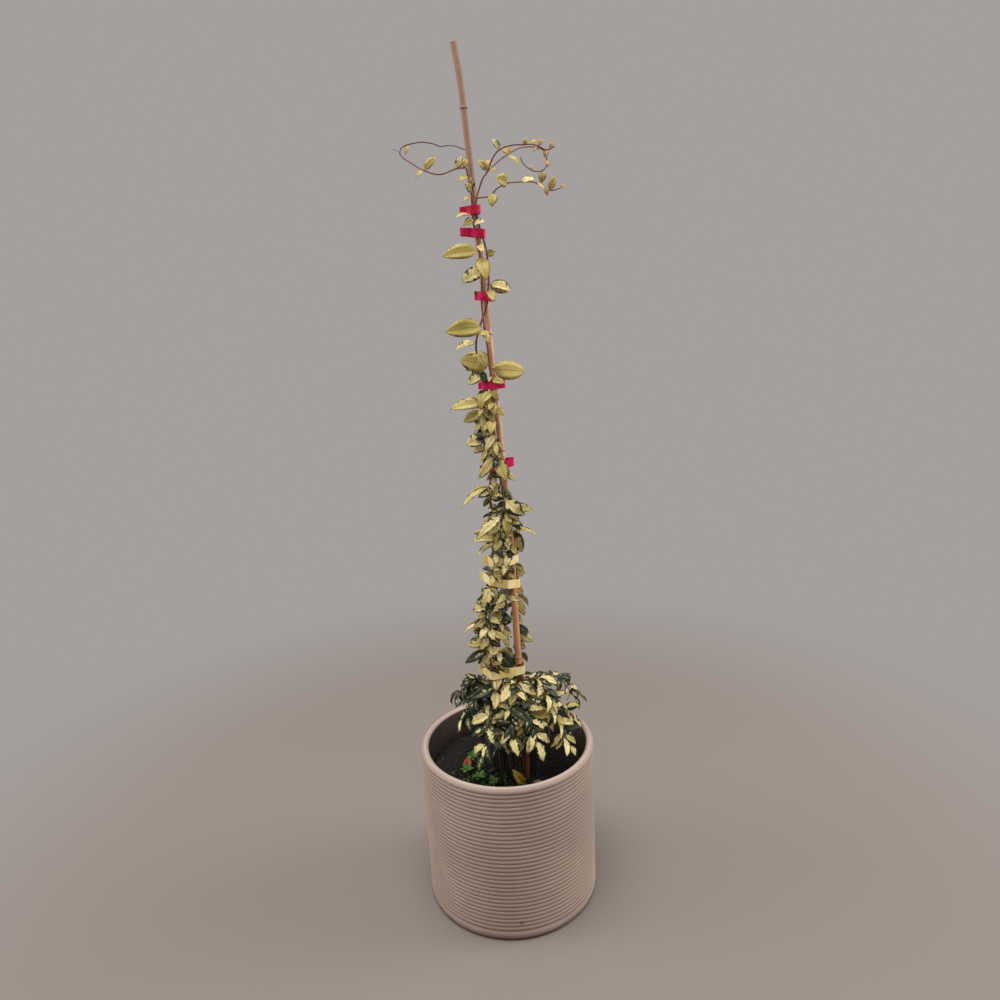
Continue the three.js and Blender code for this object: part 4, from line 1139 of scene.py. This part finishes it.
m = stem_finish = new_finish("red_brown_stem", (104, 58, 42), 0.6)
place = object_place(m)
rings = grain(m, place, 260, 3, 0.6)
height = put(m, "SeparateXYZ", {"Vector": place}).outputs["Z"]
# Low in the bush the stems are painted dark brown, as painted shade under the leaves.
twig = layered(
    m, mixed(m, stepped(m, grain(m, place, 24, 2), 0.4, 0.62), (132, 74, 52), (86, 54, 40)),
    (stepped(m, rings, 0.6, 0.7), 1, (150, 112, 82)), (stepped(m, height, 0.42, 0.33), 1, (34, 24, 18)),
)
dress(m, twig, rings, 0.0004)


# Above `column_from` most leaves are olive, and down to `bush_to` they are mixed. In the bush they
# are greener, and many on the left are painted darkest, as painted shade. The small ones at the
# top and the right runners' are young.
column_from, bush_to, young_from, runners_from = 820, 460, 1130, 75


def tint_of(leaf):
    """How olive, how green and how young a leaf is, from its place and its size."""
    x, _, height = leaf.base
    if height > column_from:
        pale = looks.random() < 0.25 and leaf.length < 40
        olive = vary(0, 0.35) if pale else vary(0.75, 1)
        green = vary(0.3, 0.8) if pale else vary(0, 0.4)
    elif height > bush_to:
        olive, green = vary(0, 0.9), vary(0.3, 0.85)
    else:
        olive, green = looks.choice((0, 0.05, 0.1, 0.3, 0.9)), vary(0.45, 0.95)
        # Many leaves on the bush's left get more green, painted dark as painted shade.
        if looks.random() < np.interp(x, (-40, -15), (0.85, 0.15)):
            green += 0.8
    if leaf.inner:
        green = vary(1.3, 2)
    young = vary(0.1, 0.6) if leaf.length < 16 and height > young_from else 0
    if height > young_from and x > runners_from:
        young += 0.4
    return olive, green, looks.random(), young


def leafy_piece(name, own):
    """Joins a node's stems and leaves in one piece."""
    parts = []
    for stem in own:
        order = np.arange(len(stem.places))
        radii = np.interp(order, order[[0, -1]], (stem.start_radius, stem.end_radius)) * 0.92
        for bud in stem.buds:
            radii += 0.28 * stem.end_radius * np.exp(-((order - bud) / 0.9) ** 2)
        radii[-1] *= 0.4
        twig = rod(name, stem.places, radii, 2)
        bpy.ops.object.shade_smooth()
        twig.data.materials.append(stem_finish)
        parts.append(twig)
        for leaf in stem.leaves:
            fold, droop = vary(0.1, 0.45), vary(0, 0.7)
            wave = (vary(0.3, 1.3) * leaf.width / 18, vary(0, 6), vary(5, 11))
            sway, twist = vary(-0.07, 0.07), vary(-0.35, 0.35)
            blade = leaf.blade(fold, droop, wave, sway, twist)
            parts.append(copied(leaf_shape, blade, tint_of(leaf), leaf_finish))
    return join_all(parts, name)


for letter in "abcd":
    own = [stem for stem in stems.values() if stem.owner == f"vine_{letter}"]
    vine = leafy_piece(f"vine_{letter}", own)
    settle(vine, None, "climbing_foliage", f"leafy_stem_{letter}")
for order, spray in enumerate(sprays, 1):
    shoot = leafy_piece(spray.owner, [spray])
    settle(shoot, None, "bush_foliage", f"spray_{order:02d}")

# The seedlings
# Low weeds that have come up in the soil on the left: a short stem and a rosette of soft bright
# leaves each, with a mat of tiny moss leaves round them.
m = weed_finish = new_finish("soft_green_leaf", (92, 128, 56), 0.55)
own = LeafPattern(m)
green = layered(
    m, mixed(m, own.tint["Red"], (58, 98, 36), (112, 158, 62)),
    (stepped(m, grain(m, own.where, 4), 0.4, 0.7), 0.4, (44, 70, 32)),
    (own.veins, 0.35, (148, 178, 96)), (own.underside, 0.5, (132, 156, 100)),
)
dress(m, green, own.veins, 0.0003)
stalk_steps = 12
# Rows: x, y, number of leaves, height
weed_rows = [(-26, -50, 6, 11), (-50, -36, 7, 13), (-70, -16, 6, 12), (-60, 22, 7, 14), (-46, 46, 6, 12)]
draws["seed"] = weed_seed
for order, (x, y, leaves, height) in enumerate(weed_rows, 1):
    lifts = np.linspace(-14, height, stalk_steps)
    places = np.array([(x, y, soil_top + lift) for lift in lifts], dtype=float)
    stalk = rod("stalk", places, np.linspace(1.6, 1.2, stalk_steps), 2)
    bpy.ops.object.shade_smooth()
    stalk.data.materials.append(weed_finish)
    parts = [stalk]
    for leaf in range(leaves):
        turn = 360 * leaf / leaves + draw(-12, 12)
        base = (x, y, soil_top + height - 1.6 - (leaf % 2) * 2)
        made = Leaf(base, turn, draw(2, 40), draw(11, 15), draw(7, 9), 10, level(turn))
        wave = (vary(0.2, 0.6), vary(0, 6), 7)
        blade = made.blade(vary(0.1, 0.3), vary(0, 0.5), wave, 0, vary(-0.3, 0.3))
        parts.append(copied(leaf_shape, blade, (looks.random(), 0.5, looks.random(), 0), weed_finish))
    settle(join_all(parts, f"seedling_{order}"), None, "seedling", f"weed_{order}")

# The mat of moss: hundreds of tiny rounded leaves, each a few faces
deselect()
bpy.ops.mesh.primitive_ico_sphere_add(subdivisions=1, radius=1)
moss_shape = named("moss_shape")
moss_points = points_of(moss_shape.data)
bpy.ops.object.shade_smooth()
moss_leaves, moss_count, moss_reach = [], 900, 126
while len(moss_leaves) < moss_count:
    x, y = vary(-104, 34), vary(-92, 20)
    patchy = noise.noise(Vector((x / 24, y / 24, 9))) + 0.5 - ((x + 34) / 80) ** 2 - ((y + 44) / 55) ** 2
    if patchy < vary(-0.45, 0.1) or math.hypot(x, y) > moss_reach:
        continue
    long = vary(1.6, 3.6)
    sizes = (long, long * vary(0.5, 0.75), 0.35)
    roll = rolled(vary(0, math.tau), vary(-0.8, 0.3), "Y")
    base = (x, y, soil_top + lump(x, y) + vary(0.4, 3.6))
    moss_leaves.append(copied(moss_shape, (moss_points * sizes) @ roll + base, (looks.random(), 0, 0, 1)))
bpy.data.objects.remove(moss_shape)
moss_mat = join_all(moss_leaves, "moss_mat")
moss = new_finish("moss", (62, 84, 38), 0.7)
tufts = grain(moss, object_place(moss), 300, 3)
green = mixed(moss, stepped(moss, tint_parts(moss)["Red"], 0.45, 0.95), (26, 38, 20), (84, 128, 48))
green = mixed(moss, stepped(moss, tufts, 0.5, 0.75), green, (48, 66, 38))
dress(moss, green, tufts, 0.0003)
settle(moss_mat, moss, "seedling")

# The fallen leaves
# Three of the plant's own leaves that have dried and dropped: orange, yellow and brown. They are
# curled. Two lie on the soil, and the yellow one leans up against the shoots.
withered = {}
for name, fresh, dark, rim in (
    ("orange", (226, 124, 78), (186, 92, 54), (140, 76, 50)),
    ("yellow", (236, 190, 78), (206, 142, 50), (140, 112, 46)),
    ("brown", (170, 148, 126), (128, 102, 82), (92, 70, 56)),
):
    m = withered[name] = new_finish(f"{name}_dry_leaf", fresh, 0.75)
    own = LeafPattern(m)
    border = reckon(m, "ADD", own.off_middle, reckon(m, "MULTIPLY_ADD", grain(m, own.where, 6), 0.8, -0.4))
    colour = layered(m, fresh, (stepped(m, grain(m, own.where, 3.5, 4), 0.42, 0.66), 1, dark),
                     (stepped(m, border, 0.78, 1.0), 1, rim), (own.veins, 0.4, rim))
    dress(m, colour, own.veins, 0.0005)
# Rows: x, y, turn, rise, length, width, face, tone
fallen_rows = [
    (-76, -6, 60, 35, 26, 15, 60, "orange"), (25, -47, 195, 62, 34, 15, 75, "yellow"),
    (56, -58, 150, 8, 24, 12, 10, "brown"),
]
for order, (x, y, turn, rise, length, width, face, tone) in enumerate(fallen_rows, 1):
    leaf = Leaf((x, y, 0), turn, rise, length, width, face, to_front)
    spots = leaf.blade(0.55, 0.5, (1.2, order * 2, 8), 0.1, 0.5)
    low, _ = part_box(f"fallen_leaf_{order}")
    spots[:, 2] += low.z * 1000 - spots[:, 2].min()
    dropped = copied(leaf_shape, spots, (0.5, 0.5, order / 4, 0), name=f"dropped_leaf_{order}")
    settle(dropped, withered[tone], "dead_leaf", f"fallen_leaf_{order}")
bpy.data.objects.remove(leaf_shape)

seen_low, seen_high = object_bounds()
sizes = {"cad": [list(cad_low), list(cad_high)], "visual": [list(seen_low), list(seen_high)]}
